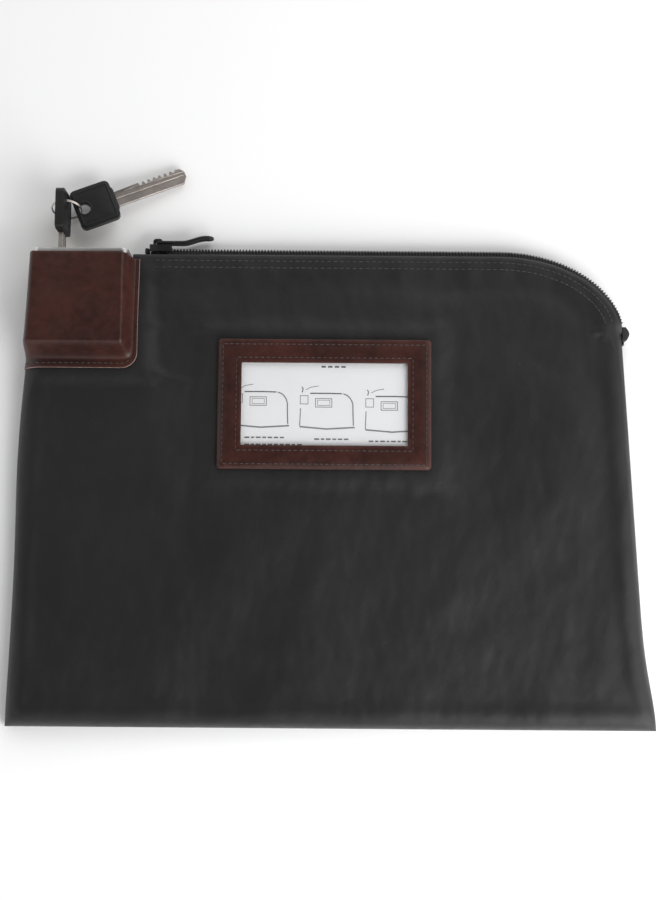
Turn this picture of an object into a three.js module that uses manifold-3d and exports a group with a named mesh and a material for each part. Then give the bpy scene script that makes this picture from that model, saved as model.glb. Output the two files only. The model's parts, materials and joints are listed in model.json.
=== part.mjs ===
// Locking cash deposit bag: a flat fabric pouch with a zip round its top edge, a pop-up
// cylinder lock in one corner and a label pocket on its front.
// Millimetres. The bag lies on its back: +Z is up out of its front, +Y points to the zip
// edge, and the origin is the middle of the back, on the surface that the bag lies on.

import * as THREE from 'three';
import { mergeVertices } from 'three/addons/utils/BufferGeometryUtils.js';
import Module from 'manifold-3d';

const wasm = await Module();
wasm.setup();

// ---- driving dimensions -----------------------------------------------------------------
const GAP = 0.3; // clearance between pieces that touch

const BAG_WIDTH = 288; // along the bottom seam
const BAG_HEIGHT = 217.4; // bottom seam to zip edge
const LEFT_LEAN = 7; // how far the left seam leans in over the height
const RIGHT_LEAN = 11; // and the right seam
const CORNER_WIDTH = 57; // the zip's rounded corner is a quarter ellipse
const CORNER_DROP = 39;
const PANEL_T = 1.0; // coated fabric with its lining
const SEAM_T = 2.6; // bag thickness at the sewn sides and bottom
const ZIP_EDGE_T = 8.0; // bag thickness at the zip edge
const BAG_T = 11.0; // bag thickness in the middle
const SEAM_ROLL = 10; // width over which a seam rounds up to full thickness
const CROWN_FALL = 38; // width over which the middle falls to the zip edge

const LOCK_W = 39; // lock case
const LOCK_H = 39;
const LOCK_T = 19.6;
const LOCK_WALL = 1.2;
const LOCK_INSET = 11; // case to the left end of the bottom seam, across the bag
const LOCK_MOUTH_DROP = 5.4; // case mouth below the zip edge
const COVER_T = 1.2; // leatherette
const COVER_SIDE = 6.8; // leatherette beyond the case at the right
const COVER_FOOT = 12; // and below the case
const COVER_FLANGE = 3.4; // its flat stitched margin
const COVER_ROLL = 2.8; // its rounding at the bag's left side
const COVER_RADIUS = 7;

const CAP_T = 1.8; // plate of the pop-up cap
const CAP_GUIDE = 22; // length of the legs that guide it in the case
const CAP_MARGIN = 0.4; // plate inside the case's thickness
const CAP_TRAVEL = 3.2; // how far the cap pops up
const LATCH_T = 1.2; // plug cam and its keeper

const PLUG_R = 5.3;
const HOUSING_R = 7.0;
const HOUSING_L = 27;
const KEY_INSET = 10.4; // key axis from the left side of the case
const PIN_COUNT = 7;
const FIRST_PIN = 4.4; // below the top of the cylinder
const PIN_PITCH = 2.7;
const PIN_R = 0.85;
const CHAMBER_R = 1.15;
const BIBLE_REACH = 12.4; // pin chambers' block, out from the key axis
const NECK_R = 2.8;

const BLADE_L = 34.1;
const BLADE_W = 7.4;
const BLADE_T = 2.0;
const BOW_SIZE = 18.9;
const BOW_T = 4.0;
const BOW_COLLAR = 0.8;
const BOW_RADIUS = 2.4;
const BOW_HOLE_R = 2.8;
const BOW_HOLE_OFFSET = 5.2; // ring hole from the bow's middle
const BOW_STANDOFF = 8.5; // bow above the lock when the key is home

const RING_R = 6.8; // to the middle of the wire
const RING_WIRE_R = 0.55;
const RING_SHIFT = 0.8; // ring centre, right of the key
const RING_TILT = THREE.MathUtils.degToRad(20);
const SPARE_TURN = THREE.MathUtils.degToRad(22.5);
const SPARE_DIP = THREE.MathUtils.degToRad(6.2);

const TAPE_T = 0.6;
const TAPE_W = 11;
const TEETH_W = 3.6; // both rows together, closed
const TEETH_DEPTH = 2.0;
const TEETH_PITCH = 4.0;
const TOOTH_RISE = 0.9;
const PANEL_LIP = 2.6; // panel edge below the zip line
const ZIP_END_ANGLE = THREE.MathUtils.degToRad(7);
const SLIDER_L = 10;
const SLIDER_T = 0.9;
const SLIDER_FLANGE = 1.4;
const PULL_L = 27;
const PULL_W = 5;
const PULL_T = 1.3;
const PULL_ARCH = 2.4;
const HINGE_PIN_R = 0.7;

const FRAME_W = 96.5; // label pocket
const FRAME_H = 59;
const FRAME_BORDER = 10.7;
const FRAME_SHIFT_X = -2.0;
const FRAME_SHIFT_Y = 36.3;
const BORDER_T = 1.0;
const CARD_W = 86;
const CARD_H = 50;
const CARD_T = 0.3;
const WINDOW_W = 90;
const WINDOW_H = 46;
const WINDOW_T = 0.3;

// ---- places worked out from them ----------------------------------------------------------
const topY = BAG_HEIGHT / 2;
const bottomY = -BAG_HEIGHT / 2;
const cornerY = topY - CORNER_DROP;
const leftX = (y) => -BAG_WIDTH / 2 + (LEFT_LEAN * (y - bottomY)) / BAG_HEIGHT;
const rightX = (y) => BAG_WIDTH / 2 - (RIGHT_LEAN * (y - bottomY)) / BAG_HEIGHT;
const cornerX = rightX(cornerY) - CORNER_WIDTH;

const caseX0 = -BAG_WIDTH / 2 + LOCK_INSET;
const caseX1 = caseX0 + LOCK_W;
const notchReach = COVER_SIDE - COVER_FLANGE; // panel's cut-out beyond the case
const capOverhang = notchReach - 2 * GAP; // cap's plate beyond the case at the right
const mouthY = topY - LOCK_MOUTH_DROP;
const caseY0 = mouthY - LOCK_H;
const caseZ0 = PANEL_T + 2 * GAP + 0.2;
const caseZ1 = caseZ0 + LOCK_T;
const lockZ = (caseZ0 + caseZ1) / 2;
const keyX = caseX0 + KEY_INSET;
const innerHalfT = LOCK_T / 2 - LOCK_WALL - GAP;
const coverX1 = caseX1 + COVER_SIDE;
const coverY0 = caseY0 - COVER_FOOT;
const coverY1 = mouthY;
const capY0 = mouthY + GAP;
const capY1 = capY0 + CAP_T;
const housingY0 = capY1 - HOUSING_L;
const camY1 = housingY0 - 2.1;
const camY0 = camY1 - LATCH_T;
const keeperY0 = camY1 + (CAP_TRAVEL - 2 * LATCH_T) / 2;
const bowY0 = capY1 + BOW_STANDOFF;
const bowMidY = bowY0 + BOW_COLLAR + BOW_SIZE / 2;
const zipMidZ = ZIP_EDGE_T / 2;
const zipStartX = coverX1 + 4;
const sliderX = zipStartX + SLIDER_L / 2;
const labelX = FRAME_SHIFT_X;
const labelY = FRAME_SHIFT_Y;

// ---- materials ------------------------------------------------------------------------------
const finish = (color, roughness, metalness = 0, extra = {}) =>
  new THREE.MeshStandardMaterial({ color, roughness, metalness, ...extra });
const nylon = finish(0x262628, 0.7);
const tapeCloth = finish(0x1b1b1d, 0.85);
const coil = finish(0x151516, 0.45);
const leatherette = finish(0x3b1c18, 0.35);
const steel = finish(0xa9a7a2, 0.35, 1);
const brass = finish(0xb59a5b, 0.35, 1);
const nickel = finish(0xb7aaa0, 0.28, 1);
const blackPlastic = finish(0x121314, 0.45);
const blackMetal = finish(0x161617, 0.4, 0.6);
const clearVinyl = finish(0xf2f4f5, 0.12, 0, { transparent: true, opacity: 0.35 });
const paper = finish(0xf1f0ee, 0.8);

// ---- making and joining solids ----------------------------------------------------------------
function toSolid(geometry) {
  const bare = geometry.clone();
  for (const name of Object.keys(bare.attributes)) {
    if (name !== 'position') bare.deleteAttribute(name);
  }
  const merged = mergeVertices(bare, 1e-4);
  return new wasm.Manifold(
    new wasm.Mesh({
      numProp: 3,
      vertProperties: new Float32Array(merged.attributes.position.array),
      triVerts: new Uint32Array(merged.index.array),
    }),
  );
}

function toGeometry(solid) {
  const mesh = solid.getMesh();
  const geometry = new THREE.BufferGeometry();
  geometry.setAttribute('position', new THREE.BufferAttribute(mesh.vertProperties, 3));
  geometry.setIndex(new THREE.BufferAttribute(mesh.triVerts, 1));
  geometry.computeVertexNormals();
  return geometry;
}

const cut = (body, ...tools) =>
  toGeometry(tools.reduce((solid, tool) => solid.subtract(toSolid(tool)), toSolid(body)));
const join = (body, ...others) =>
  toGeometry(others.reduce((solid, other) => solid.add(toSolid(other)), toSolid(body)));
const overlap = (body, other) => toGeometry(toSolid(body).intersect(toSolid(other)));

function block(x0, x1, y0, y1, z0, z1) {
  const box = new THREE.BoxGeometry(x1 - x0, y1 - y0, z1 - z0);
  return box.translate((x0 + x1) / 2, (y0 + y1) / 2, (z0 + z1) / 2);
}

// A cylinder from a to b along one axis, centred on the other two coordinates given.
const rodY = (r, y0, y1, x, z, sides = 24) =>
  new THREE.CylinderGeometry(r, r, y1 - y0, sides).translate(x, (y0 + y1) / 2, z);
const rodX = (r, x0, x1, y, z, sides = 24) =>
  new THREE.CylinderGeometry(r, r, x1 - x0, sides)
    .rotateZ(Math.PI / 2)
    .translate((x0 + x1) / 2, y, z);
const rodZ = (r, z0, z1, x, y, sides = 24) =>
  new THREE.CylinderGeometry(r, r, z1 - z0, sides)
    .rotateX(Math.PI / 2)
    .translate(x, y, (z0 + z1) / 2);

function roundedRect(x0, x1, y0, y1, r00, r10, r11, r01) {
  const shape = new THREE.Shape();
  shape.moveTo(x0 + r00, y0);
  shape.lineTo(x1 - r10, y0);
  if (r10) shape.absarc(x1 - r10, y0 + r10, r10, -Math.PI / 2, 0);
  shape.lineTo(x1, y1 - r11);
  if (r11) shape.absarc(x1 - r11, y1 - r11, r11, 0, Math.PI / 2);
  shape.lineTo(x0 + r01, y1);
  if (r01) shape.absarc(x0 + r01, y1 - r01, r01, Math.PI / 2, Math.PI);
  shape.lineTo(x0, y0 + r00);
  if (r00) shape.absarc(x0 + r00, y0 + r00, r00, Math.PI, 1.5 * Math.PI);
  return shape;
}

const extrude = (shape, z0, z1, curveSegments = 6) =>
  new THREE.ExtrudeGeometry(shape, { depth: z1 - z0, bevelEnabled: false, curveSegments })
    .translate(0, 0, z0);

// A closed slab over a grid of places: place(i, j) gives [x, y, lowZ, highZ].
function slab(columns, rows, place) {
  const positions = [];
  const index = [];
  const low = (i, j) => 2 * (j * (columns + 1) + i);
  const high = (i, j) => low(i, j) + 1;
  const quad = (a, b, c, d) => index.push(a, b, c, a, c, d);
  for (let j = 0; j <= rows; j++) {
    for (let i = 0; i <= columns; i++) {
      const [x, y, z0, z1] = place(i, j);
      positions.push(x, y, z0, x, y, z1);
    }
  }
  for (let j = 0; j < rows; j++) {
    for (let i = 0; i < columns; i++) {
      quad(high(i, j), high(i + 1, j), high(i + 1, j + 1), high(i, j + 1));
      quad(low(i, j), low(i, j + 1), low(i + 1, j + 1), low(i + 1, j));
    }
  }
  for (let i = 0; i < columns; i++) {
    quad(low(i, 0), low(i + 1, 0), high(i + 1, 0), high(i, 0));
    quad(low(i + 1, rows), low(i, rows), high(i, rows), high(i + 1, rows));
  }
  for (let j = 0; j < rows; j++) {
    quad(low(0, j + 1), low(0, j), high(0, j), high(0, j + 1));
    quad(low(columns, j), low(columns, j + 1), high(columns, j + 1), high(columns, j));
  }
  const geometry = new THREE.BufferGeometry();
  geometry.setAttribute('position', new THREE.Float32BufferAttribute(positions, 3));
  geometry.setIndex(index);
  geometry.computeVertexNormals();
  return geometry;
}

const { lerp, clamp, smoothstep } = THREE.MathUtils;
const roll = (distance, width) => Math.sqrt(1 - (1 - clamp(distance / width, 0, 1)) ** 2);

// ---- the bag's outline and thickness ------------------------------------------------------------
const rightSeam = new THREE.Line3(
  new THREE.Vector3(rightX(bottomY), bottomY, 0),
  new THREE.Vector3(rightX(cornerY), cornerY, 0),
);

// Height of the front panel's outer face over a point of the back.
function frontZ(x, y) {
  const here = new THREE.Vector3(x, y, 0);
  const toRight = rightSeam.closestPointToPoint(here, true, new THREE.Vector3()).distanceTo(here);
  const crown = lerp(BAG_T, ZIP_EDGE_T, smoothstep(y, topY - CROWN_FALL, topY));
  const full = roll(x - leftX(y), SEAM_ROLL) * roll(toRight, SEAM_ROLL) * roll(y - bottomY, SEAM_ROLL);
  return lerp(SEAM_T, crown, full);
}

// The zip's line: straight along the top edge, then round the corner. Gives the point and the
// outward normal at a distance from the start of the straight run.
const cornerPoint = (angle) => [
  cornerX + CORNER_WIDTH * Math.cos(angle),
  cornerY + CORNER_DROP * Math.sin(angle),
];

function zipLine(startX, endAngle) {
  const points = [];
  const straightSteps = 8;
  const cornerSteps = 160;
  for (let i = 0; i < straightSteps; i++) {
    points.push(new THREE.Vector3(lerp(startX, cornerX, i / straightSteps), topY, 0));
  }
  for (let i = 0; i <= cornerSteps; i++) {
    const [x, y] = cornerPoint(lerp(Math.PI / 2, endAngle, i / cornerSteps));
    points.push(new THREE.Vector3(x, y, 0));
  }
  const lengths = [0];
  for (let i = 1; i < points.length; i++) {
    lengths.push(lengths[i - 1] + points[i].distanceTo(points[i - 1]));
  }
  const total = lengths[lengths.length - 1];
  const at = (distance) => {
    let i = 1;
    while (i < points.length - 1 && lengths[i] < distance) i++;
    const t = (distance - lengths[i - 1]) / (lengths[i] - lengths[i - 1]);
    const point = points[i - 1].clone().lerp(points[i], t);
    const run = points[i].clone().sub(points[i - 1]).normalize();
    return { x: point.x, y: point.y, nx: -run.y, ny: run.x };
  };
  return { total, at };
}

// ---- fabric ----------------------------------------------------------------------------------------
const PANEL_COLUMNS = 20;
const CORNER_COLUMNS = 10;
const PANEL_ROWS = 14;
const even = (i, n) => i / n;
const crowded = (t) => 0.5 - 0.5 * Math.cos(Math.PI * t);

// Place on the panel at column i and row j, the panel ending lip below the zip's line.
function panelPlace(i, j, lip) {
  const columns = PANEL_COLUMNS + CORNER_COLUMNS;
  const v = crowded(even(j, PANEL_ROWS));
  const bottomX = lerp(leftX(bottomY), rightX(bottomY), crowded(even(i, columns)));
  let edge = [lerp(leftX(topY), cornerX, even(i, PANEL_COLUMNS)), topY - lip];
  if (i > PANEL_COLUMNS) {
    const angle = lerp(Math.PI / 2, 0, even(i - PANEL_COLUMNS, CORNER_COLUMNS));
    edge = [
      cornerX + (CORNER_WIDTH - lip * 0.4) * Math.cos(angle),
      cornerY + (CORNER_DROP - lip) * Math.sin(angle),
    ];
  }
  return [lerp(bottomX, edge[0], v), lerp(bottomY, edge[1], v)];
}

function panel(lip, faces) {
  return slab(PANEL_COLUMNS + CORNER_COLUMNS, PANEL_ROWS, (i, j) => {
    const [x, y] = panelPlace(i, j, lip);
    return [x, y, ...faces(x, y)];
  });
}

// The room that the lock takes out of the bag's corner.
const lockNotch = (reach) =>
  extrude(
    roundedRect(
      -BAG_WIDTH, caseX1 + reach, caseY0 - reach, 2 * topY,
      0, COVER_RADIUS - COVER_FLANGE, 0, 0,
    ),
    -1,
    LOCK_T * 2,
  );

function backPanel() {
  return cut(panel(PANEL_LIP, () => [0, PANEL_T]), coverOutline(GAP, -1, PANEL_T + 1));
}

function frontPanel() {
  const faces = (x, y) => [frontZ(x, y) - PANEL_T, frontZ(x, y)];
  return cut(panel(PANEL_LIP, faces), lockNotch(notchReach));
}

// ---- zip -----------------------------------------------------------------------------------------------
function zipTape(front) {
  const steps = 36;
  const across = 2;
  const { total, at } = zipLine(zipStartX, ZIP_END_ANGLE);
  return slab(steps, across, (i, j) => {
    const { x, y, nx, ny } = at((total * i) / steps);
    const inward = lerp(TAPE_W, 1.4, j / across);
    const px = x - nx * inward;
    const py = y - ny * inward;
    const low = front ? frontZ(px, py) - PANEL_T - 2 * GAP - TAPE_T : PANEL_T + GAP;
    return [px, py, low, low + TAPE_T];
  });
}

// One row of closed teeth: a strip along the zip's line with a tooth at each pitch.
function zipTeeth(front) {
  const { total, at } = zipLine(zipStartX, ZIP_END_ANGLE);
  const offset = (distance, out) => {
    const { x, y, nx, ny } = at(clamp(distance, 0, total));
    return new THREE.Vector2(x + nx * out, y + ny * out);
  };
  const count = Math.floor(total / TEETH_PITCH) - 1;
  const phase = front ? TEETH_PITCH / 2 : 0;
  const outline = [offset(0, 0)];
  for (let k = 0; k < count; k++) {
    const start = phase + (k + 0.25) * TEETH_PITCH;
    outline.push(offset(start, 0));
    outline.push(offset(start + TEETH_PITCH * 0.12, TOOTH_RISE));
    outline.push(offset(start + TEETH_PITCH * 0.38, TOOTH_RISE));
    outline.push(offset(start + TEETH_PITCH * 0.5, 0));
  }
  outline.push(offset(total, 0));
  const back = 30;
  for (let k = back; k >= 0; k--) outline.push(offset((total * k) / back, -TEETH_DEPTH));
  const low = front ? zipMidZ + GAP / 2 : zipMidZ - TEETH_W / 2;
  return extrude(new THREE.Shape(outline), low, low + TEETH_W / 2 - GAP / 2);
}

// Fabric stub that closes the zip's far end, outside the seam.
function zipEndTab() {
  const steps = 8;
  return slab(steps, 1, (i, j) => {
    const angle = lerp(ZIP_END_ANGLE * 0.9, -0.05, i / steps);
    const [x, y] = cornerPoint(angle);
    const swell = 1.6 + 0.9 * Math.sin((Math.PI * i) / steps);
    return [x + (j ? swell : GAP), y, 1.2, 6.4];
  });
}

function zipStartStop() {
  return block(
    zipStartX - 2.2, zipStartX - GAP, topY - TEETH_DEPTH, topY + 0.6,
    zipMidZ - TEETH_W / 2, zipMidZ + TEETH_W / 2,
  );
}

const sliderRise = TOOTH_RISE + GAP; // underside of the slider's plate above the zip's line
const hinge = { x: sliderX - 1.5, y: topY + sliderRise + SLIDER_T + 1.3 };

function zipSlider() {
  const halfIn = TEETH_W / 2 + GAP;
  const halfOut = halfIn + SLIDER_FLANGE;
  const top = topY + sliderRise + SLIDER_T;
  const x0 = sliderX - SLIDER_L / 2;
  const x1 = sliderX + SLIDER_L / 2;
  const outer = block(x0, x1, topY - 1, top, zipMidZ - halfOut, zipMidZ + halfOut);
  const channel = block(
    x0 - 1, x1 + 1, topY - 2, topY + sliderRise, zipMidZ - halfIn, zipMidZ + halfIn,
  );
  const bridge = block(hinge.x - 2.2, hinge.x + 2.2, top - 0.2, hinge.y + 2.0, zipMidZ - 1, zipMidZ + 1);
  const eye = rodZ(HINGE_PIN_R + GAP, zipMidZ - 2, zipMidZ + 2, hinge.x, hinge.y, 16);
  return cut(join(cut(outer, channel), bridge), eye);
}

// Pull: a curved tongue that ends in a loop, hung on a cross pin through the slider's eye.
function zipPull() {
  const arch = (t) => PULL_ARCH * smoothstep(t, 0.45, 0.85);
  const steps = 16;
  const side = (k, offsetY) => {
    const t = k / steps;
    return new THREE.Vector2(hinge.x - 0.7 + PULL_L * t, hinge.y - 0.65 + arch(t) + offsetY);
  };
  const outline = [];
  for (let k = 0; k <= steps; k++) outline.push(side(k, 0));
  for (let k = steps; k >= 0; k--) outline.push(side(k, PULL_T));
  const z0 = zipMidZ - PULL_W / 2;
  const z1 = zipMidZ + PULL_W / 2;
  const tongue = extrude(new THREE.Shape(outline), z0, z1);
  const fork = block(hinge.x - 2, hinge.x + 3, topY, topY + 12, zipMidZ - 1 - GAP, zipMidZ + 1 + GAP);
  const loopEnd = hinge.x + PULL_L - 2.4;
  const loop = block(loopEnd - 6, loopEnd, topY, topY + 12, zipMidZ - 1.3, zipMidZ + 1.3);
  const pin = rodZ(HINGE_PIN_R, z0 + 0.2, z1 - 0.2, hinge.x, hinge.y, 12);
  return join(cut(tongue, fork, loop), pin);
}

// ---- lock cover -----------------------------------------------------------------------------------------
function coverOutline(grow, z0, z1) {
  const shape = new THREE.Shape();
  const r = COVER_RADIUS + grow;
  const x1 = coverX1 + grow;
  const y0 = coverY0 - grow;
  shape.moveTo(leftX(y0) - grow * 4, y0);
  shape.lineTo(x1 - r, y0);
  shape.absarc(x1 - r, y0 + r, r, -Math.PI / 2, 0);
  shape.lineTo(x1, coverY1 + grow * 20);
  shape.lineTo(leftX(coverY1) - grow * 4, coverY1 + grow * 20);
  return extrude(shape, z0, z1);
}

const COVER_COLUMNS = 24;
const COVER_ROWS = 22;

function coverFront() {
  const lockTop = caseZ1 + 1.5 * GAP;
  const skin = (x, y, inset) => {
    const left = roll(x - leftX(y) - inset, COVER_ROLL);
    const right = smoothstep(coverX1 - x - inset, 2, COVER_SIDE - 2 * GAP - inset);
    const foot = smoothstep(y - coverY0 - inset, COVER_FLANGE, COVER_FOOT - 1 - inset);
    const flange = frontZ(x, y) + 2 * GAP;
    const raised = lerp(flange, lockTop, right * foot);
    const hem = lerp(flange, PANEL_T + GAP, smoothstep(y, caseY0 - notchReach, caseY0));
    return lerp(hem, raised, left);
  };
  const sheet = slab(COVER_COLUMNS, COVER_ROWS, (i, j) => {
    const y = lerp(coverY0 - 1, coverY1, crowded(even(j, COVER_ROWS)));
    const x = lerp(leftX(y), coverX1 + 1, crowded(even(i, COVER_COLUMNS)));
    return [x, y, skin(x, y, COVER_T), skin(x, y, 0) + COVER_T];
  });
  const panelRoom = cut(
    panel(PANEL_LIP, (x, y) => [0, frontZ(x, y) + GAP]),
    lockNotch(notchReach - GAP),
  );
  return cut(overlap(sheet, coverOutline(0, -5, 2 * LOCK_T)), panelRoom);
}

const coverBack = () => coverOutline(0, 0, PANEL_T);

// ---- lock ------------------------------------------------------------------------------------------------
function lockCase() {
  const can = extrude(
    roundedRect(caseX0, caseX1, caseZ0, caseZ1, 2, 2, 2, 2), 0, LOCK_H,
  );
  const w = LOCK_WALL;
  const hollow = extrude(
    roundedRect(caseX0 + w, caseX1 - w, caseZ0 + w, caseZ1 - w, 1, 1, 1, 1), w, LOCK_H + 1,
  );
  return cut(can, hollow).rotateX(-Math.PI / 2).translate(0, caseY0, 2 * lockZ);
}

const capHalf = LOCK_T / 2 - CAP_MARGIN;

function popUpCap() {
  const left = caseX0 - 1;
  const plate = extrude(
    roundedRect(left, caseX1 + capOverhang, lockZ - capHalf, lockZ + capHalf, 3, 3, 3, 3), 0, CAP_T, 4,
  )
    .rotateX(-Math.PI / 2)
    .translate(0, capY0, 2 * lockZ);
  const guideX0 = caseX0 + LOCK_WALL + GAP;
  const guideY0 = capY0 - CAP_GUIDE;
  const guideLeft = block(guideX0, guideX0 + 1.4, guideY0, capY0 + 0.2, lockZ - innerHalfT, lockZ + innerHalfT);
  const rightX0 = keyX + BIBLE_REACH + 3;
  const guideRight = block(
    rightX0, rightX0 + 5, guideY0, capY0 + 0.2, lockZ - innerHalfT, lockZ + innerHalfT,
  );
  const bore = rodY(HOUSING_R + GAP, capY0 - 1, capY1 + 1, keyX, lockZ, 32);
  const bible = block(
    keyX, keyX + BIBLE_REACH + 1.4, capY0 - 1, capY1 + 1, lockZ - 2.8, lockZ + 2.8,
  );
  const slotX0 = rightX0 + 6;
  const slot = block(slotX0, slotX0 + 8, capY0 - 1, capY1 + 1, lockZ - 3.2, lockZ + 3.2);
  return cut(join(plate, guideLeft, guideRight), bore, bible, slot);
}

const chamberY = (k) => capY1 - FIRST_PIN - k * PIN_PITCH;

function cylinderHousing() {
  const barrel = rodY(HOUSING_R, housingY0, capY1, keyX, lockZ, 32);
  const bible = block(keyX, keyX + BIBLE_REACH, housingY0, capY1, lockZ - 2.4, lockZ + 2.4);
  const bore = rodY(PLUG_R + GAP, housingY0 - 1, capY1 + 1, keyX, lockZ, 32);
  const chambers = [];
  for (let k = 0; k < PIN_COUNT; k++) {
    chambers.push(rodX(CHAMBER_R, keyX + 3, keyX + BIBLE_REACH + 1, chamberY(k), lockZ, 10));
  }
  return cut(join(barrel, bible), bore, ...chambers);
}

const chamberCover = () =>
  block(
    keyX + BIBLE_REACH + GAP, keyX + BIBLE_REACH + GAP + 0.8, housingY0, capY1 - 2.1,
    lockZ - 2.4, lockZ + 2.4,
  );

const DRIVER_L = 2.6;
const driverPin = (k) =>
  rodX(PIN_R, keyX + PLUG_R + 2 * GAP, keyX + PLUG_R + 2 * GAP + DRIVER_L, chamberY(k), lockZ, 8);

// A coil of wire along +X from the origin.
function coilSpring(length, radius, wireR, turns, stepsPerTurn, sides) {
  const points = [];
  const count = turns * stepsPerTurn;
  for (let i = 0; i <= count; i++) {
    const angle = (2 * Math.PI * i) / stepsPerTurn;
    const along = wireR + ((length - 2 * wireR) * i) / count;
    points.push(new THREE.Vector3(along, radius * Math.cos(angle), radius * Math.sin(angle)));
  }
  const section = new THREE.Shape();
  section.absarc(0, 0, wireR, 0, 2 * Math.PI);
  return new THREE.ExtrudeGeometry(section, {
    steps: count,
    bevelEnabled: false,
    curveSegments: sides,
    extrudePath: new THREE.CatmullRomCurve3(points),
  });
}

function driverSpring(k) {
  const x0 = keyX + PLUG_R + 2 * GAP + DRIVER_L + GAP;
  const length = keyX + BIBLE_REACH - GAP - x0;
  return coilSpring(length, 0.7, 0.2, 3, 6, 2).translate(x0, chamberY(k), lockZ);
}

// Plug, with its keyway across and its key pins on the side of the key's cuts, which face the
// back of the bag while the key stands turned.
const bladeSpine = PLUG_R - 1.2;
const bladeCutEdge = bladeSpine - BLADE_W;
const plugY0 = housingY0;
const plugY1 = capY1;

function cylinderPlug() {
  const body = rodY(PLUG_R, plugY0, plugY1, keyX, lockZ, 32);
  const neck = rodY(NECK_R, camY1 + GAP, plugY0 + 0.5, keyX, lockZ, 20);
  const keyway = block(
    keyX - BLADE_T / 2 - GAP, keyX + BLADE_T / 2 + GAP, plugY0 + 1.0, plugY1 + 1,
    lockZ + bladeCutEdge - GAP, lockZ + bladeSpine + GAP,
  );
  const chambers = [];
  for (let k = 0; k < PIN_COUNT; k++) {
    chambers.push(
      rodZ(CHAMBER_R, lockZ - PLUG_R - 1, lockZ + bladeCutEdge, keyX, chamberY(k), 10),
    );
  }
  const tapped = rodY(1.3, camY1 - 1, camY1 + 2.8, keyX, lockZ, 12);
  return cut(join(body, neck), keyway, ...chambers, tapped);
}

const keyPin = (k) =>
  rodZ(PIN_R, lockZ - PLUG_R + 0.1, lockZ + bladeCutEdge - GAP, keyX, chamberY(k), 8);

// Cam on the plug's end: its arm points at the back while the lock is open, and turns under
// the keeper to hold the cap down.
const CAM_REACH = 7;
function plugCam() {
  const hub = rodY(NECK_R, camY0, camY1, keyX, lockZ, 20);
  const arm = block(keyX - 1.8, keyX + 1.8, camY0, camY1, lockZ - CAM_REACH, lockZ);
  return cut(join(hub, arm), rodY(1.3, camY0 - 1, camY1 + 1, keyX, lockZ, 12));
}

function camScrew() {
  const head = rodY(2.2, camY0 - GAP - 1.2, camY0 - GAP, keyX, lockZ, 16);
  const shank = rodY(1.0, camY0 - GAP - 0.2, camY1 + 2.4, keyX, lockZ, 12);
  const drive = block(
    keyX - 0.4, keyX + 0.4, camY0 - GAP - 2, camY0 - GAP - 0.8, lockZ - 3, lockZ + 3,
  );
  return cut(join(head, shank), drive);
}

const camKeeper = () =>
  block(
    keyX + NECK_R + 0.6, keyX + BIBLE_REACH, keeperY0, keeperY0 + LATCH_T,
    lockZ - innerHalfT, lockZ + innerHalfT,
  );

function popSpring() {
  const floor = caseY0 + LOCK_WALL + GAP;
  const length = capY0 - CAP_GUIDE - GAP - floor;
  return coilSpring(length, 2.6, 0.5, 5, 10, 3)
    .rotateZ(Math.PI / 2)
    .translate(keyX + BIBLE_REACH + 5.5, floor, lockZ);
}

const catchPin = () =>
  rodZ(1.2, lockZ - innerHalfT, lockZ + innerHalfT, keyX + BIBLE_REACH + 13, mouthY - 6, 16);

// ---- keys ------------------------------------------------------------------------------------------------
const chamberDepth = BOW_STANDOFF + FIRST_PIN;

// A key drawn flat: its middle line runs along -Y to the tip from the bow's lower edge at y = 0,
// its flat side faces X, and its cuts face -Z.
function keyBladeShape() {
  const shape = new THREE.Shape();
  const cutEdge = bladeCutEdge;
  shape.moveTo(BOW_SIZE * 0.4, cutEdge + 1);
  shape.lineTo(BOW_SIZE * 0.4, bladeSpine - 1);
  shape.lineTo(0, bladeSpine);
  shape.lineTo(-BLADE_L + 2, bladeSpine);
  shape.lineTo(-BLADE_L, bladeSpine - 2.6);
  shape.lineTo(-BLADE_L, cutEdge + 2.2);
  shape.lineTo(-BLADE_L + 1.8, cutEdge + 0.2);
  for (let k = PIN_COUNT - 1; k >= 0; k--) {
    const middle = -(chamberDepth + k * PIN_PITCH);
    const deep = 0.7 + 0.9 * Math.abs(Math.sin(2.3 * (k + 1)));
    shape.lineTo(middle - PIN_PITCH * 0.36, cutEdge);
    shape.lineTo(middle - 0.4, cutEdge + deep);
    shape.lineTo(middle + 0.4, cutEdge + deep);
    shape.lineTo(middle + PIN_PITCH * 0.36, cutEdge);
  }
  return shape;
}

function keyBlade() {
  const flat = extrude(keyBladeShape(), -BLADE_T / 2, BLADE_T / 2);
  const groove = (side) =>
    block(-BLADE_L - 1, -2, 0.4, 1.6, side > 0 ? BLADE_T / 2 - 0.5 : -BLADE_T / 2 - 1,
      side > 0 ? BLADE_T / 2 + 1 : -BLADE_T / 2 + 0.5);
  // drawn with its length on X and its width on Y; stood up so that length is Y and width is Z
  return cut(flat, groove(1), groove(-1)).rotateZ(Math.PI / 2).rotateY(Math.PI / 2);
}

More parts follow.
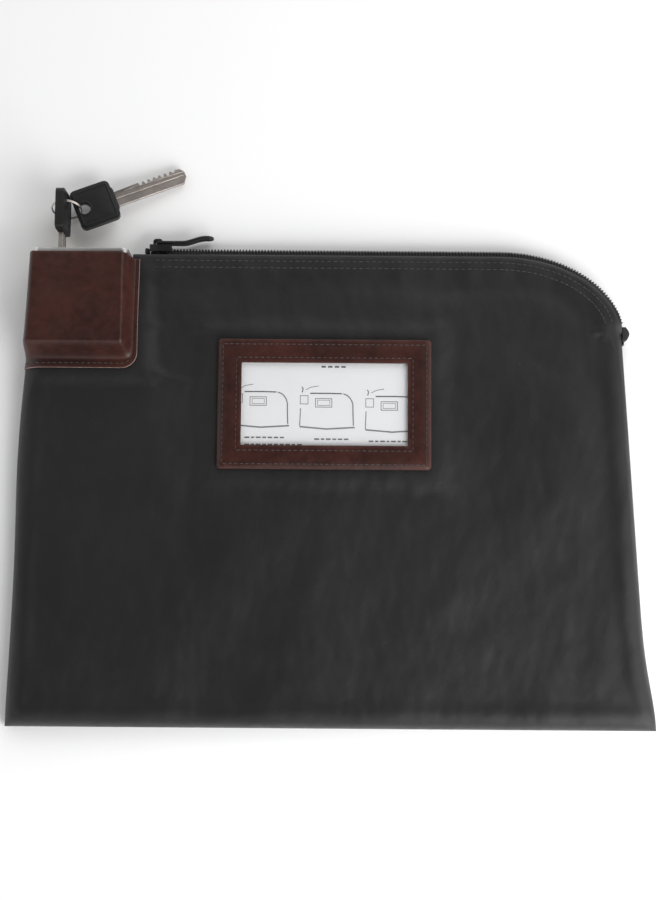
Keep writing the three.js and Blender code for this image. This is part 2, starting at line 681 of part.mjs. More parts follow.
function keyBow() {
  const half = BOW_SIZE / 2;
  const outline = roundedRect(
    BOW_COLLAR, BOW_COLLAR + BOW_SIZE, -half, half, BOW_RADIUS, BOW_RADIUS, BOW_RADIUS, BOW_RADIUS,
  );
  const head = extrude(outline, -BOW_T / 2, BOW_T / 2);
  const collar = extrude(
    new THREE.Shape([
      new THREE.Vector2(0, -4.6), new THREE.Vector2(BOW_COLLAR + 1, -7.5),
      new THREE.Vector2(BOW_COLLAR + 1, 7.5), new THREE.Vector2(0, 4.6),
    ]),
    -BOW_T / 2 + 0.6,
    BOW_T / 2 - 0.6,
  );
  const hole = rodZ(
    BOW_HOLE_R, -BOW_T, BOW_T, BOW_COLLAR + half + BOW_HOLE_OFFSET, 0, 20,
  );
  const pocket = block(
    -1, BOW_SIZE * 0.4 + GAP, bladeCutEdge - GAP, bladeSpine + GAP,
    -BLADE_T / 2 - GAP, BLADE_T / 2 + GAP,
  );
  return cut(join(head, collar), hole, pocket).rotateZ(Math.PI / 2).rotateY(Math.PI / 2);
}

function keyRing() {
  return new THREE.TorusGeometry(RING_R, RING_WIRE_R, 8, 32);
}

// ---- label pocket --------------------------------------------------------------------------------------------
const cardZ = BAG_T + GAP;
const windowZ = cardZ + CARD_T + GAP;
const borderZ = windowZ + WINDOW_T + GAP;
const frameX0 = labelX - FRAME_W / 2;
const frameY0 = labelY - FRAME_H / 2;

function labelFrame() {
  const outer = extrude(
    roundedRect(frameX0, frameX0 + FRAME_W, frameY0, frameY0 + FRAME_H, 1.5, 1.5, 1.5, 1.5),
    BAG_T + GAP, borderZ + BORDER_T,
  );
  const sight = block(
    frameX0 + FRAME_BORDER, frameX0 + FRAME_W - FRAME_BORDER,
    frameY0 + FRAME_BORDER, frameY0 + FRAME_H - FRAME_BORDER, 0, borderZ + 5,
  );
  const windowRoom = block(
    labelX - WINDOW_W / 2 - GAP, labelX + WINDOW_W / 2 + GAP,
    labelY - WINDOW_H / 2 - GAP, labelY + WINDOW_H / 2 + GAP, 0, borderZ,
  );
  const cardRoom = block(
    labelX - CARD_W / 2 - GAP, labelX + CARD_W / 2 + GAP,
    labelY - CARD_H / 2 - GAP, frameY0 + FRAME_H + 1, 0, windowZ,
  );
  return cut(outer, sight, windowRoom, cardRoom);
}

const labelWindow = () =>
  block(
    labelX - WINDOW_W / 2, labelX + WINDOW_W / 2, labelY - WINDOW_H / 2, labelY + WINDOW_H / 2,
    windowZ, windowZ + WINDOW_T,
  );

const labelCard = () =>
  block(
    labelX - CARD_W / 2, labelX + CARD_W / 2, labelY - CARD_H / 2, labelY + CARD_H / 2,
    cardZ, cardZ + CARD_T,
  );

// ---- the assembly -----------------------------------------------------------------------------------------------
const bag = new THREE.Group();

function add(parent, name, geometry, material) {
  const mesh = new THREE.Mesh(geometry, material);
  mesh.name = name;
  parent.add(mesh);
  return mesh;
}

add(bag, 'back_panel', backPanel(), nylon);
add(bag, 'front_panel', frontPanel(), nylon);
add(bag, 'zip_tape_front', zipTape(true), tapeCloth);
add(bag, 'zip_tape_back', zipTape(false), tapeCloth);
add(bag, 'zip_teeth_front', zipTeeth(true), coil);
add(bag, 'zip_teeth_back', zipTeeth(false), coil);
add(bag, 'zip_start_stop', zipStartStop(), blackMetal);
add(bag, 'zip_end_tab', zipEndTab(), tapeCloth);
add(bag, 'zip_slider', zipSlider(), blackMetal);
add(bag, 'zip_pull', zipPull(), blackPlastic);
add(bag, 'lock_cover_front', coverFront(), leatherette);
add(bag, 'lock_cover_back', coverBack(), leatherette);
add(bag, 'lock_case', lockCase(), steel);
add(bag, 'cam_keeper', camKeeper(), steel);
add(bag, 'catch_pin', catchPin(), steel);
add(bag, 'pop_spring', popSpring(), steel);
add(bag, 'pop_up_cap', popUpCap(), steel);
add(bag, 'cylinder_housing', cylinderHousing(), brass);
add(bag, 'chamber_cover', chamberCover(), brass);
add(bag, 'cylinder_plug', cylinderPlug(), brass);
add(bag, 'plug_cam', plugCam(), steel);
add(bag, 'cam_screw', camScrew(), steel);
for (let k = 0; k < PIN_COUNT; k++) {
  add(bag, `driver_pin_${k + 1}`, driverPin(k), brass);
  add(bag, `driver_spring_${k + 1}`, driverSpring(k), steel);
  add(bag, `key_pin_${k + 1}`, keyPin(k), brass);
}
add(bag, 'label_frame', labelFrame(), leatherette);
add(bag, 'label_window', labelWindow(), clearVinyl);
add(bag, 'label_card', labelCard(), paper);

const lockKey = new THREE.Group();
lockKey.position.set(keyX, bowY0, lockZ);
add(lockKey, 'key_blade', keyBlade(), nickel);
add(lockKey, 'key_bow', keyBow(), blackPlastic);
bag.add(lockKey);

// The ring stands nearly across the key, through the key's hole and under its bow's edge.
const ringFoot = RING_WIRE_R + 0.15;
const ringDrop = RING_R * Math.cos(RING_TILT);
const ringZ = ringFoot + ringDrop;
const ringY = bowMidY + BOW_HOLE_OFFSET - RING_R * Math.sin(RING_TILT);
const ring = add(bag, 'key_ring', keyRing(), nickel);
ring.position.set(keyX + RING_SHIFT, ringY, ringZ);
ring.rotation.x = Math.PI / 2 - RING_TILT;

// The spare key lies to the right, its tip just above the surface, hung by its hole on the ring.
const spareHole = BOW_COLLAR + BOW_SIZE / 2 + BOW_HOLE_OFFSET;
const spare = new THREE.Group();
spare.position.set(keyX + RING_SHIFT + RING_R + 1.4, ringY, ringZ);
spare.rotation.set(0, SPARE_DIP, SPARE_TURN, 'ZYX');
const spareBody = new THREE.Group();
spareBody.rotation.set(0, Math.PI / 2, Math.PI / 2, 'ZYX');
const spareHung = new THREE.Group();
spareHung.position.set(0, -spareHole, 0);
spareHung.rotation.y = Math.PI;
add(spareHung, 'spare_key_blade', keyBlade(), nickel);
add(spareHung, 'spare_key_bow', keyBow(), blackPlastic);
spareBody.add(spareHung);
spare.add(spareBody);
bag.add(spare);

export default bag;
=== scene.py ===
"""Locking cash deposit bag: soft fabric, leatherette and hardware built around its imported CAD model.

The bag lies on its back. Z is up out of its front and Y points to the zip edge. Shapes are drawn
in millimetres and become metres when a piece is finished.
"""

from __future__ import annotations

import json
import logging
import math
from dataclasses import dataclass, field
from enum import Enum
from functools import cache
from typing import Any, Callable, Iterable, Sequence

import bmesh
import bpy
from mathutils import Matrix, Vector, noise
from mathutils.bvhtree import BVHTree


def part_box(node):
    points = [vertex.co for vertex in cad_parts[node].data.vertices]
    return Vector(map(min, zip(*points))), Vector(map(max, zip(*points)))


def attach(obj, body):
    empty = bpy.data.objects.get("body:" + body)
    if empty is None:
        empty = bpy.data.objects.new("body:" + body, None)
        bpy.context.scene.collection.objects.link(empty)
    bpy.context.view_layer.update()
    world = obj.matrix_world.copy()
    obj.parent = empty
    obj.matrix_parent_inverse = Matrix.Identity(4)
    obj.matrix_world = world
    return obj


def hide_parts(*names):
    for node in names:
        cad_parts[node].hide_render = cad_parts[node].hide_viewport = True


log = logging.getLogger("deposit_bag")

MM = 0.001
Point2 = tuple[float, float]
Height = Callable[[float, float], float]


# ---- numbers ----------------------------------------------------------------------------------------------
def clamp(value: float, low: float = 0.0, high: float = 1.0) -> float:
    """The value kept between low and high."""
    return max(low, min(high, value))


def lerp(start: float, end: float, share: float) -> float:
    """The value a share of the way from start to end."""
    return start + (end - start) * share


def smoothstep(value: float, start: float, end: float) -> float:
    """An S curve from 0 at start to 1 at end."""
    t = clamp((value - start) / (end - start))
    return t * t * (3 - 2 * t)


def roll(distance: float, width: float) -> float:
    """A quarter round: 0 at an edge, 1 at a width inside it."""
    return math.sqrt(1 - (1 - clamp(distance / width)) ** 2)


def crowded(share: float, amount: float = 0.75) -> float:
    """A share from 0 to 1 whose steps bunch towards both ends."""
    return lerp(share, 0.5 - 0.5 * math.cos(math.pi * share), amount)


def node_box(node: str) -> tuple[Vector, Vector]:
    """A CAD node's lowest and highest corner in millimetres."""
    low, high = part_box(node)
    return low / MM, high / MM


# ---- materials --------------------------------------------------------------------------------------------
class Wire:
    """A number flowing through a material; arithmetic on it adds Math nodes."""

    def __init__(self, graph: "Graph", socket: bpy.types.NodeSocket) -> None:
        """Wraps an output socket of the graph."""
        self.graph = graph
        self.socket = socket

    def maths(self, operation: str, *values: Any) -> "Wire":
        """The result of one Math node fed with values, this wire among them."""
        made = self.graph.node(
            "ShaderNodeMath", {"operation": operation}, dict(enumerate(values))
        )
        return Wire(self.graph, made.outputs[0])

    def __add__(self, other: Any) -> "Wire":
        """Sum."""
        return self.maths("ADD", self, other)

    __radd__ = __add__

    def __sub__(self, other: Any) -> "Wire":
        """Difference."""
        return self.maths("SUBTRACT", self, other)

    def __rsub__(self, other: Any) -> "Wire":
        """Difference the other way round."""
        return self.maths("SUBTRACT", other, self)

    def __mul__(self, other: Any) -> "Wire":
        """Product."""
        return self.maths("MULTIPLY", self, other)

    __rmul__ = __mul__

    def __truediv__(self, other: Any) -> "Wire":
        """Quotient."""
        return self.maths("DIVIDE", self, other)

    def sine(self) -> "Wire":
        """Sine of the value in radians."""
        return self.maths("SINE", self)

    def size(self) -> "Wire":
        """The value without its sign."""
        return self.maths("ABSOLUTE", self)

    def between(self, start: float, end: float) -> "Wire":
        """A soft step from 0 at start to 1 at end."""
        made = self.graph.node(
            "ShaderNodeMapRange",
            {"interpolation_type": "SMOOTHSTEP"},
            {0: self, 1: start, 2: end, 3: 0.0, 4: 1.0},
        )
        return Wire(self.graph, made.outputs[0])


class Graph:
    """The node tree of one new material."""

    def __init__(self, name: str) -> None:
        """Starts an empty material of that name."""
        self.material = bpy.data.materials.new(name)
        self.material.use_nodes = True
        self.tree = self.material.node_tree
        self.tree.nodes.clear()

    def node(
        self,
        kind: str,
        settings: dict[str, Any] | None = None,
        sockets: dict[Any, Any] | None = None,
    ) -> bpy.types.Node:
        """Adds a node.

        Args:
            kind: Blender's name of the node type.
            settings: attributes that are set before the sockets.
            sockets: a value, wire or output socket for each input, by name or number.

        Returns:
            The node.
        """
        made = self.tree.nodes.new(kind)
        for name, value in (settings or {}).items():
            setattr(made, name, value)
        for key, value in (sockets or {}).items():
            source = value.socket if isinstance(value, Wire) else value
            if isinstance(source, bpy.types.NodeSocket):
                self.tree.links.new(source, made.inputs[key])
            else:
                made.inputs[key].default_value = source
        return made

    def place(self) -> bpy.types.NodeSocket:
        """The point on the piece, in metres."""
        return self.node("ShaderNodeTexCoord").outputs["Object"]

    def axes(self) -> tuple[Wire, Wire, Wire]:
        """The three coordinates of the point on the piece, in metres."""
        split = self.node("ShaderNodeSeparateXYZ", None, {0: self.place()})
        return Wire(self, split.outputs[0]), Wire(self, split.outputs[1]), Wire(self, split.outputs[2])

    def attribute(self, name: str) -> Wire:
        """A number stored on the piece's own points."""
        made = self.node("ShaderNodeAttribute", {"attribute_name": name})
        return Wire(self, made.outputs["Fac"])

    def noise(self, scale: float, detail: float = 3.0, rough: float = 0.5, vector: Any = None) -> Wire:
        """Soft noise from 0 to 1; scale is in lumps per metre."""
        sockets = {"Vector": vector or self.place(), "Scale": scale, "Detail": detail, "Roughness": rough}
        return Wire(self, self.node("ShaderNodeTexNoise", None, sockets).outputs[0])

    def cells(self, scale: float, feature: str = "F1") -> Wire:
        """Cell pattern, the distance to each cell's middle; scale is in cells per metre."""
        sockets = {"Vector": self.place(), "Scale": scale}
        made = self.node("ShaderNodeTexVoronoi", {"feature": feature}, sockets)
        return Wire(self, made.outputs["Distance"])

    def stretched(self, scale: Sequence[float], turn: float = 0.0) -> bpy.types.NodeSocket:
        """The point on the piece, scaled along each axis and turned about Z."""
        sockets = {"Vector": self.place(), "Scale": tuple(scale), "Rotation": (0.0, 0.0, turn)}
        return self.node("ShaderNodeMapping", None, sockets).outputs[0]

    def mix(self, share: Any, first: Any, second: Any) -> bpy.types.NodeSocket:
        """A colour that goes from first to second as share goes from 0 to 1."""
        made = self.node("ShaderNodeMix", {"data_type": "RGBA"}, {0: share, 6: first, 7: second})
        return made.outputs[2]

    def bump(self, height: Wire, distance: float, under: Any = None, strength: float = 1.0) -> Any:
        """A normal with that relief, its depth in metres, on top of another normal if given."""
        sockets: dict[str, Any] = {"Height": height, "Distance": distance, "Strength": strength}
        if under is not None:
            sockets["Normal"] = under
        return self.node("ShaderNodeBump", None, sockets).outputs[0]

    def close(self, sockets: dict[str, Any]) -> bpy.types.Material:
        """Ends the material in one Principled shader with those sockets."""
        shader = self.node("ShaderNodeBsdfPrincipled", None, sockets)
        self.node("ShaderNodeOutputMaterial", None, {"Surface": shader.outputs[0]})
        return self.material


Colour = tuple[float, float, float]


def rgba(colour: Colour, share: float = 1.0) -> tuple[float, float, float, float]:
    """A colour with full alpha, its brightness multiplied by share."""
    return (colour[0] * share, colour[1] * share, colour[2] * share, 1.0)


@dataclass(frozen=True)
class Finish:
    """A surface finish that makes its own material."""

    name: str
    colour: Colour

    def material(self) -> bpy.types.Material:
        """The finish as a Blender material."""
        raise NotImplementedError


@dataclass(frozen=True)
class CoatedNylon(Finish):
    """Fine plain-weave nylon with a dull coating, creased a little by handling."""

    weave: float = 0.62  # pitch of the threads, mm
    crease: float = 0.00055  # depth of the handling creases, m
    roughness: float = 0.52

    def material(self) -> bpy.types.Material:
        """Weave, shallow creases, uneven sheen and rubbed edges."""
        g = Graph(self.name)
        x, y, _ = g.axes()
        turns = 2 * math.pi / (self.weave * MM)
        weave = (x * turns).sine() * (y * turns).sine()
        broad = g.noise(11.0, 2.0)
        patchy = g.noise(55.0, 4.0, 0.55)
        fine = g.noise(900.0, 2.0)
        rubbed = 1 - g.attribute("edge").between(0.0, 3.0)
        tone = broad * 0.55 + patchy * 0.3 + fine * 0.15
        base = g.mix(tone.between(0.25, 0.75), rgba(self.colour, 0.78), rgba(self.colour, 1.3))
        worn = g.mix(rubbed * patchy * 0.8, base, rgba((0.03, 0.03, 0.033)))
        creases = g.noise(26.0, 3.0, 0.45, g.stretched((1.0, 0.55, 1.0), 0.5))
        relief = g.bump(creases, self.crease * 9)
        relief = g.bump(patchy, self.crease * 0.9, relief)
        relief = g.bump(weave, 0.00004, relief, 0.55)
        return g.close({
            "Base Color": worn,
            "Roughness": self.roughness + (patchy - 0.5) * 0.16 + weave * 0.03,
            "Specular IOR Level": 0.3,
            "Sheen Weight": 0.08,
            "Sheen Roughness": 0.45,
            "Normal": relief,
        })


@dataclass(frozen=True)
class Leatherette(Finish):
    """Glossy grained vinyl that looks like leather, darker where it was handled."""

    grain: float = 780.0  # cells per metre
    roughness: float = 0.38

    def material(self) -> bpy.types.Material:
        """Pebbled grain, mottled depth and a scuffed lustre."""
        g = Graph(self.name)
        cloudy = g.noise(42.0, 4.0, 0.6)
        mottled = g.noise(260.0, 3.0, 0.55)
        cells = g.cells(self.grain)
        scuffs = g.noise(34.0, 5.0, 0.65, g.stretched((1.0, 5.0, 1.0), 0.4)).between(0.55, 0.8)
        tone = (cloudy * 0.6 + mottled * 0.4).between(0.3, 0.7)
        base = g.mix(tone, rgba(self.colour, 0.55), rgba(self.colour, 1.35))
        rubbed = 1 - g.attribute("edge").between(0.0, 1.6)
        base = g.mix(rubbed * mottled * 0.5, base, rgba((0.09, 0.04, 0.032)))
        relief = g.bump(cloudy, 0.0003)
        relief = g.bump(cells, 0.00008, relief, 0.5)
        return g.close({
            "Base Color": base,
            "Roughness": self.roughness + mottled * 0.14 + scuffs * 0.16,
            "Specular IOR Level": 0.28,
            "Coat Weight": 0.12 - scuffs * 0.08,
            "Coat Roughness": 0.3,
            "Normal": relief,
        })


@dataclass(frozen=True)
class RawEdge(Finish):
    """The cut edge of leatherette, where its pale backing shows."""

    def material(self) -> bpy.types.Material:
        """Fibrous and matt."""
        g = Graph(self.name)
        fibre = g.noise(1500.0, 3.0, 0.6)
        base = g.mix(fibre.between(0.3, 0.7), rgba(self.colour, 0.6), rgba(self.colour, 1.3))
        return g.close({"Base Color": base, "Roughness": 0.8, "Normal": g.bump(fibre, 0.0001)})


@dataclass(frozen=True)
class Thread(Finish):
    """Twisted sewing thread."""

    def material(self) -> bpy.types.Material:
        """Slanting twist with a little fuzz."""
        g = Graph(self.name)
        x, y, z = g.axes()
        twist = ((x + y + z) * (2 * math.pi / (0.4 * MM))).sine()
        fuzz = g.noise(2500.0, 2.0)
        base = g.mix(fuzz, rgba(self.colour, 0.7), rgba(self.colour, 1.4))
        return g.close({
            "Base Color": base,
            "Roughness": 0.62,
            "Sheen Weight": 0.3,
            "Normal": g.bump(twist + fuzz, 0.00005),
        })


@dataclass(frozen=True)
class WovenTape(Finish):
    """Herringbone zip tape."""

    def material(self) -> bpy.types.Material:
        """Slanting ribs that change side."""
        g = Graph(self.name)
        x, y, _ = g.axes()
        turns = 2 * math.pi / (0.9 * MM)
        ribs = ((x + y.size() * 0.6) * turns).sine() * (y * turns).sine()
        dust = g.noise(400.0, 4.0, 0.6)
        base = g.mix(dust, rgba(self.colour, 0.7), rgba(self.colour, 1.5))
        return g.close({"Base Color": base, "Roughness": 0.78, "Sheen Weight": 0.2, "Normal": g.bump(ribs, 0.00009)})


@dataclass(frozen=True)
class Metal(Finish):
    """Bare or plated metal with fine brushing, tarnish and small scratches."""

    roughness: float = 0.28
    brushing: tuple[float, float, float] = (60.0, 900.0, 900.0)

    def material(self) -> bpy.types.Material:
        """Brushed lines, cloudy tarnish and scratches in the gloss."""
        g = Graph(self.name)
        brushed = g.noise(6.0, 3.0, 0.6, g.stretched(self.brushing))
        cloud = g.noise(160.0, 4.0, 0.6)
        scratch = g.noise(70.0, 6.0, 0.7, g.stretched((1.0, 14.0, 6.0), 0.9)).between(0.6, 0.72)
        base = g.mix(cloud.between(0.35, 0.75), rgba(self.colour), rgba(self.colour, 0.72))
        return g.close({
            "Base Color": base,
            "Metallic": 1.0,
            "Roughness": self.roughness + brushed * 0.12 + cloud * 0.1 - scratch * 0.08,
            "Normal": g.bump(brushed + scratch * 0.4, 0.00003),
        })


@dataclass(frozen=True)
class MouldedPlastic(Finish):
    """Hard moulded plastic with a faint texture and a polished wear on its high spots."""

    roughness: float = 0.4
    texture: float = 1400.0

    def material(self) -> bpy.types.Material:
        """Fine spark texture and handling marks."""
        g = Graph(self.name)
        spark = g.noise(self.texture, 3.0, 0.6)
        smear = g.noise(120.0, 4.0, 0.6)
        base = g.mix(smear, rgba(self.colour, 0.75), rgba(self.colour, 1.35))
        return g.close({
            "Base Color": base,
            "Roughness": self.roughness + (smear - 0.5) * 0.2,
            "Specular IOR Level": 0.45,
            "Normal": g.bump(spark, 0.00004),
        })


@dataclass(frozen=True)
class ClearVinyl(Finish):
    """Soft clear vinyl film."""

    def material(self) -> bpy.types.Material:
        """Nearly invisible, with a wavy gloss."""
        g = Graph(self.name)
        waves = g.noise(60.0, 2.0)
        return g.close({
            "Base Color": rgba(self.colour),
            "Roughness": 0.1 + waves * 0.08,
            "Alpha": 0.05 + waves * 0.03,
            "Specular IOR Level": 0.5,
            "Normal": g.bump(waves, 0.0008),
        })


@dataclass(frozen=True)
class Paper(Finish):
    """Smooth white card."""

    def material(self) -> bpy.types.Material:
        """Slight fibre mottling."""
        g = Graph(self.name)
        fibre = g.noise(1200.0, 4.0, 0.6)
        cloud = g.noise(30.0, 2.0)
        base = g.mix(fibre * 0.6 + cloud * 0.4, rgba(self.colour, 0.93), rgba(self.colour))
        return g.close({"Base Color": base, "Roughness": 0.75, "Normal": g.bump(fibre, 0.00002)})


@dataclass(frozen=True)
class Ink(Finish):
    """Printed ink, uneven where it took less well."""

    def material(self) -> bpy.types.Material:
        """Matt print with pale spots."""
        g = Graph(self.name)
        spots = g.noise(700.0, 3.0, 0.6)
        base = g.mix(spots.between(0.3, 0.8), rgba(self.colour), rgba(self.colour, 2.2))
        return g.close({"Base Color": base, "Roughness": 0.7})


class Finishes(Enum):
    """Every finish on the bag."""

    NYLON = CoatedNylon("Coated_nylon", (0.0088, 0.0088, 0.0096))
    NYLON_BACK = CoatedNylon("Coated_nylon_back", (0.008, 0.008, 0.009), crease=0.0003)
    LEATHER = Leatherette("Oxblood_leatherette", (0.036, 0.0098, 0.0068))
    LEATHER_EDGE = RawEdge("Leatherette_cut_edge", (0.3, 0.2, 0.17))
    THREAD = Thread("Black_thread", (0.006, 0.006, 0.007))
    THREAD_SEAM = Thread("Seam_thread", (0.0035, 0.0035, 0.004))
    THREAD_DARK = Thread("Dark_brown_thread", (0.012, 0.005, 0.004))
    TAPE = WovenTape("Zip_tape", (0.008, 0.008, 0.009))
    COIL = MouldedPlastic("Zip_coil_nylon", (0.006, 0.006, 0.007), roughness=0.33)
    BLACK_METAL = MouldedPlastic("Black_lacquered_metal", (0.008, 0.008, 0.009), roughness=0.3)
    BLACK_PLASTIC = MouldedPlastic("Black_key_plastic", (0.004, 0.004, 0.0045), roughness=0.5)
    STEEL = Metal("Plated_steel", (0.62, 0.61, 0.6), roughness=0.26)
    BRASS = Metal("Brass", (0.6, 0.46, 0.22), roughness=0.3)
    NICKEL = Metal("Nickel_key", (0.52, 0.47, 0.44), roughness=0.26, brushing=(90.0, 700.0, 90.0))
    VINYL = ClearVinyl("Clear_vinyl", (0.95, 0.97, 1.0))
    CARD = Paper("White_card", (0.7, 0.7, 0.705))
    INK = Ink("Grey_print", (0.055, 0.055, 0.06))
    INK_DARK = Ink("Dark_print", (0.012, 0.012, 0.013))


@cache
def material_of(finish: Finishes) -> bpy.types.Material:
    """The one material made for a finish."""
    return finish.value.material()


# ---- shaping ----------------------------------------------------------------------------------------------
def arc(centre: Point2, radius: float, start: float, end: float, steps: int) -> list[Point2]:
    """Points on an arc, angles in degrees, both ends included."""
    turns = [math.radians(lerp(start, end, k / steps)) for k in range(steps + 1)]
    return [(centre[0] + radius * math.cos(a), centre[1] + radius * math.sin(a)) for a in turns]


def circle(centre: Point2, radius: float, steps: int = 28) -> list[Point2]:
    """Points round a circle."""
    return arc(centre, radius, 0.0, 360.0, steps)[:-1]


def rounded(x0: float, x1: float, y0: float, y1: float, radius: float, steps: int = 6) -> list[Point2]:
    """Points round a rectangle with rounded corners."""
    if radius <= 0:
        return [(x0, y0), (x1, y0), (x1, y1), (x0, y1)]
    corners = [(x0, y0, 180), (x1, y0, 270), (x1, y1, 0), (x0, y1, 90)]
    points: list[Point2] = []
    for x, y, start in corners:
        inside = (x + radius if x == x0 else x - radius, y + radius if y == y0 else y - radius)
        points += arc(inside, radius, start, start + 90, steps)
    return points


def ribbon(points: Sequence[Point2], width: float) -> list[Point2]:
    """The outline of a stroke of that width drawn along the points."""
    left: list[Point2] = []
    right: list[Point2] = []
    for k, (x, y) in enumerate(points):
        before = Vector(points[max(k - 1, 0)])
        after = Vector(points[min(k + 1, len(points) - 1)])
        run = (after - before).normalized()
        left.append((x - run.y * width / 2, y + run.x * width / 2))
        right.append((x + run.y * width / 2, y - run.x * width / 2))
    return left + right[::-1]


class Form:
    """A mesh being shaped in millimetres, which ends as one piece of the bag."""

    def __init__(self) -> None:
        """Starts with nothing."""
        self.bm = bmesh.new()

    def plate(
        self,
        outlines: Sequence[Sequence[Point2]],
        low: float,
        high: float,
        bevel: float = 0.0,
        segments: int = 2,
        turn: Matrix | None = None,
    ) -> None:
        """Adds a flat plate whose first outline is its edge and the others its holes.

        Args:
            outlines: closed outlines in the plate's own plane.
            low: height of the lower face.
            high: height of the upper face.
            bevel: rounding of the two rims.
            segments: steps of that rounding.
            turn: how the finished plate is placed.
        """
        bm = bmesh.new()
        edges = []
        for outline in outlines:
            verts = [bm.verts.new((x, y, low)) for x, y in outline]
            edges += [bm.edges.new((verts[k - 1], verts[k])) for k in range(len(verts))]
        filled = bmesh.ops.triangle_fill(bm, use_beauty=True, use_dissolve=False, edges=edges)
        faces = [f for f in filled["geom"] if isinstance(f, bmesh.types.BMFace)]
        raised = bmesh.ops.extrude_face_region(bm, geom=faces)
        tops = [v for v in raised["geom"] if isinstance(v, bmesh.types.BMVert)]
        bmesh.ops.translate(bm, verts=tops, vec=(0, 0, high - low))
        bmesh.ops.recalc_face_normals(bm, faces=bm.faces)
        if bevel:
            rims = [e for e in bm.edges if self.is_rim(e)]
            bmesh.ops.bevel(
                bm, geom=rims, offset=bevel, offset_type="OFFSET", segments=segments,
                profile=0.5, affect="EDGES", clamp_overlap=True, material=-1,
            )
        self.take(bm, turn)

    @staticmethod
    def is_rim(edge: bmesh.types.BMEdge) -> bool:
        """True between a flat face and an upright one."""
        if len(edge.link_faces) != 2:
            return False
        slopes = sorted(abs(f.normal.z) for f in edge.link_faces)
        return slopes[0] < 0.5 < slopes[1]

    def take(self, other: bmesh.types.BMesh, turn: Matrix | None = None) -> None:
        """Adds another mesh, placed by turn, and frees it."""
        if turn is not None:
            other.transform(turn)
        kept = bpy.data.meshes.new("carry")
        other.to_mesh(kept)
        other.free()
        self.bm.from_mesh(kept)
        bpy.data.meshes.remove(kept)

    def rod(self, radius: float, start: Sequence[float], end: Sequence[float], bevel: float = 0.0) -> None:
        """Adds a round rod between two points."""
        a, b = Vector(start), Vector(end)
        turn = Matrix.Translation((a + b) / 2) @ (b - a).to_track_quat("Z", "Y").to_matrix().to_4x4()
        length = (b - a).length
        self.plate([circle((0, 0), radius, 24)], -length / 2, length / 2, bevel, 2, turn)

    def bead(self, centre: Sequence[float], size: Sequence[float], heading: float, sides: int = 6) -> None:
        """Adds a small rounded bead, its size along the heading, across it and up, in millimetres."""
        turn = Matrix.LocRotScale(
            Vector(centre), Matrix.Rotation(heading, 3, "Z").to_quaternion(), Vector(size) / 2
        )
        bmesh.ops.create_uvsphere(self.bm, u_segments=sides, v_segments=4, radius=1.0, matrix=turn @ Matrix.Rotation(math.pi / 2, 4, "Y"))

    def hoop(self, radius: float, wire: float, turn: Matrix) -> None:
        """Adds a closed ring of round wire."""
        bm = bmesh.new()
        stand = Matrix.Translation((radius, 0, 0)) @ Matrix.Rotation(math.pi / 2, 4, "X")
        made = bmesh.ops.create_circle(bm, cap_ends=False, segments=12, radius=wire, matrix=stand)
        edges = list({e for v in made["verts"] for e in v.link_edges})
        bmesh.ops.spin(
            bm, geom=made["verts"] + edges, cent=(0, 0, 0), axis=(0, 0, 1),
            angle=2 * math.pi, steps=72, use_merge=True,
        )
        bmesh.ops.remove_doubles(bm, verts=bm.verts, dist=1e-4)
        bmesh.ops.recalc_face_normals(bm, faces=bm.faces)
        self.take(bm, turn)

    def slice(self, axis: int, start: float, end: float, step: float) -> None:
        """Cuts the faces across an axis at even steps, so that they can bend."""
        normal = [0.0, 0.0, 0.0]
        normal[axis] = 1.0
        for k in range(1, int((end - start) / step) + 1):
            at = [0.0, 0.0, 0.0]
            at[axis] = start + k * step
            geom = [*self.bm.verts, *self.bm.edges, *self.bm.faces]
            bmesh.ops.bisect_plane(self.bm, geom=geom, dist=1e-5, plane_co=at, plane_no=normal)

    def bend(self, move: Callable[[Vector], Vector]) -> None:
        """Moves every point by a rule."""
        for v in self.bm.verts:
            v.co = move(v.co)

    def sheet(self, columns: int, rows: int, place: Callable[[float, float], Sequence[float]]) -> None:
        """Adds an open grid and lays each of its points by a rule on shares from 0 to 1."""
        bm = bmesh.new()
        bmesh.ops.create_grid(bm, x_segments=columns, y_segments=rows, size=0.5)
        for v in bm.verts:
            v.co = Vector(place(v.co.x + 0.5, v.co.y + 0.5))
        self.take(bm)

    def cut_away(self, x: float, y: float) -> None:
        """Takes away everything left of x and above y."""
        for at, normal in (((x, 0, 0), (1, 0, 0)), ((0, y, 0), (0, 1, 0))):
            geom = [*self.bm.verts, *self.bm.edges, *self.bm.faces]
            bmesh.ops.bisect_plane(self.bm, geom=geom, dist=1e-4, plane_co=at, plane_no=normal)
        inside = []
        for f in self.bm.faces:
            middle = f.calc_center_median()
            if middle.x < x and middle.y > y:
                inside.append(f)
        bmesh.ops.delete(self.bm, geom=inside, context="FACES")

    def piece(
        self,
        name: str,
        body: str,
        finish: Finishes,
        slot: str,
        nodes: Sequence[str] = (),
        angle: float = 38.0,
    ) -> bpy.types.Object:
        """Ends the shaping.

        Args:
            name: the piece's name.
            body: the CAD body that it moves with.
            finish: its finish.
            slot: not used.
            nodes: the CAD nodes that it stands for.
            angle: edges sharper than this stay crisp, degrees.

        Returns:
            The finished object.
        """
        self.bm.transform(Matrix.Scale(MM, 4))
        mesh = bpy.data.meshes.new(name)
        self.bm.to_mesh(mesh)
        self.bm.free()
        mesh.materials.append(material_of(finish))
        mesh.shade_smooth()
        mesh.set_sharp_from_angle(angle=math.radians(angle))
        made = bpy.data.objects.new(name, mesh)
        bpy.context.scene.collection.objects.link(made)
        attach(made, body)
        if nodes:
            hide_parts(*nodes)
        log.info("%s: %d faces", name, len(mesh.polygons))
        return made


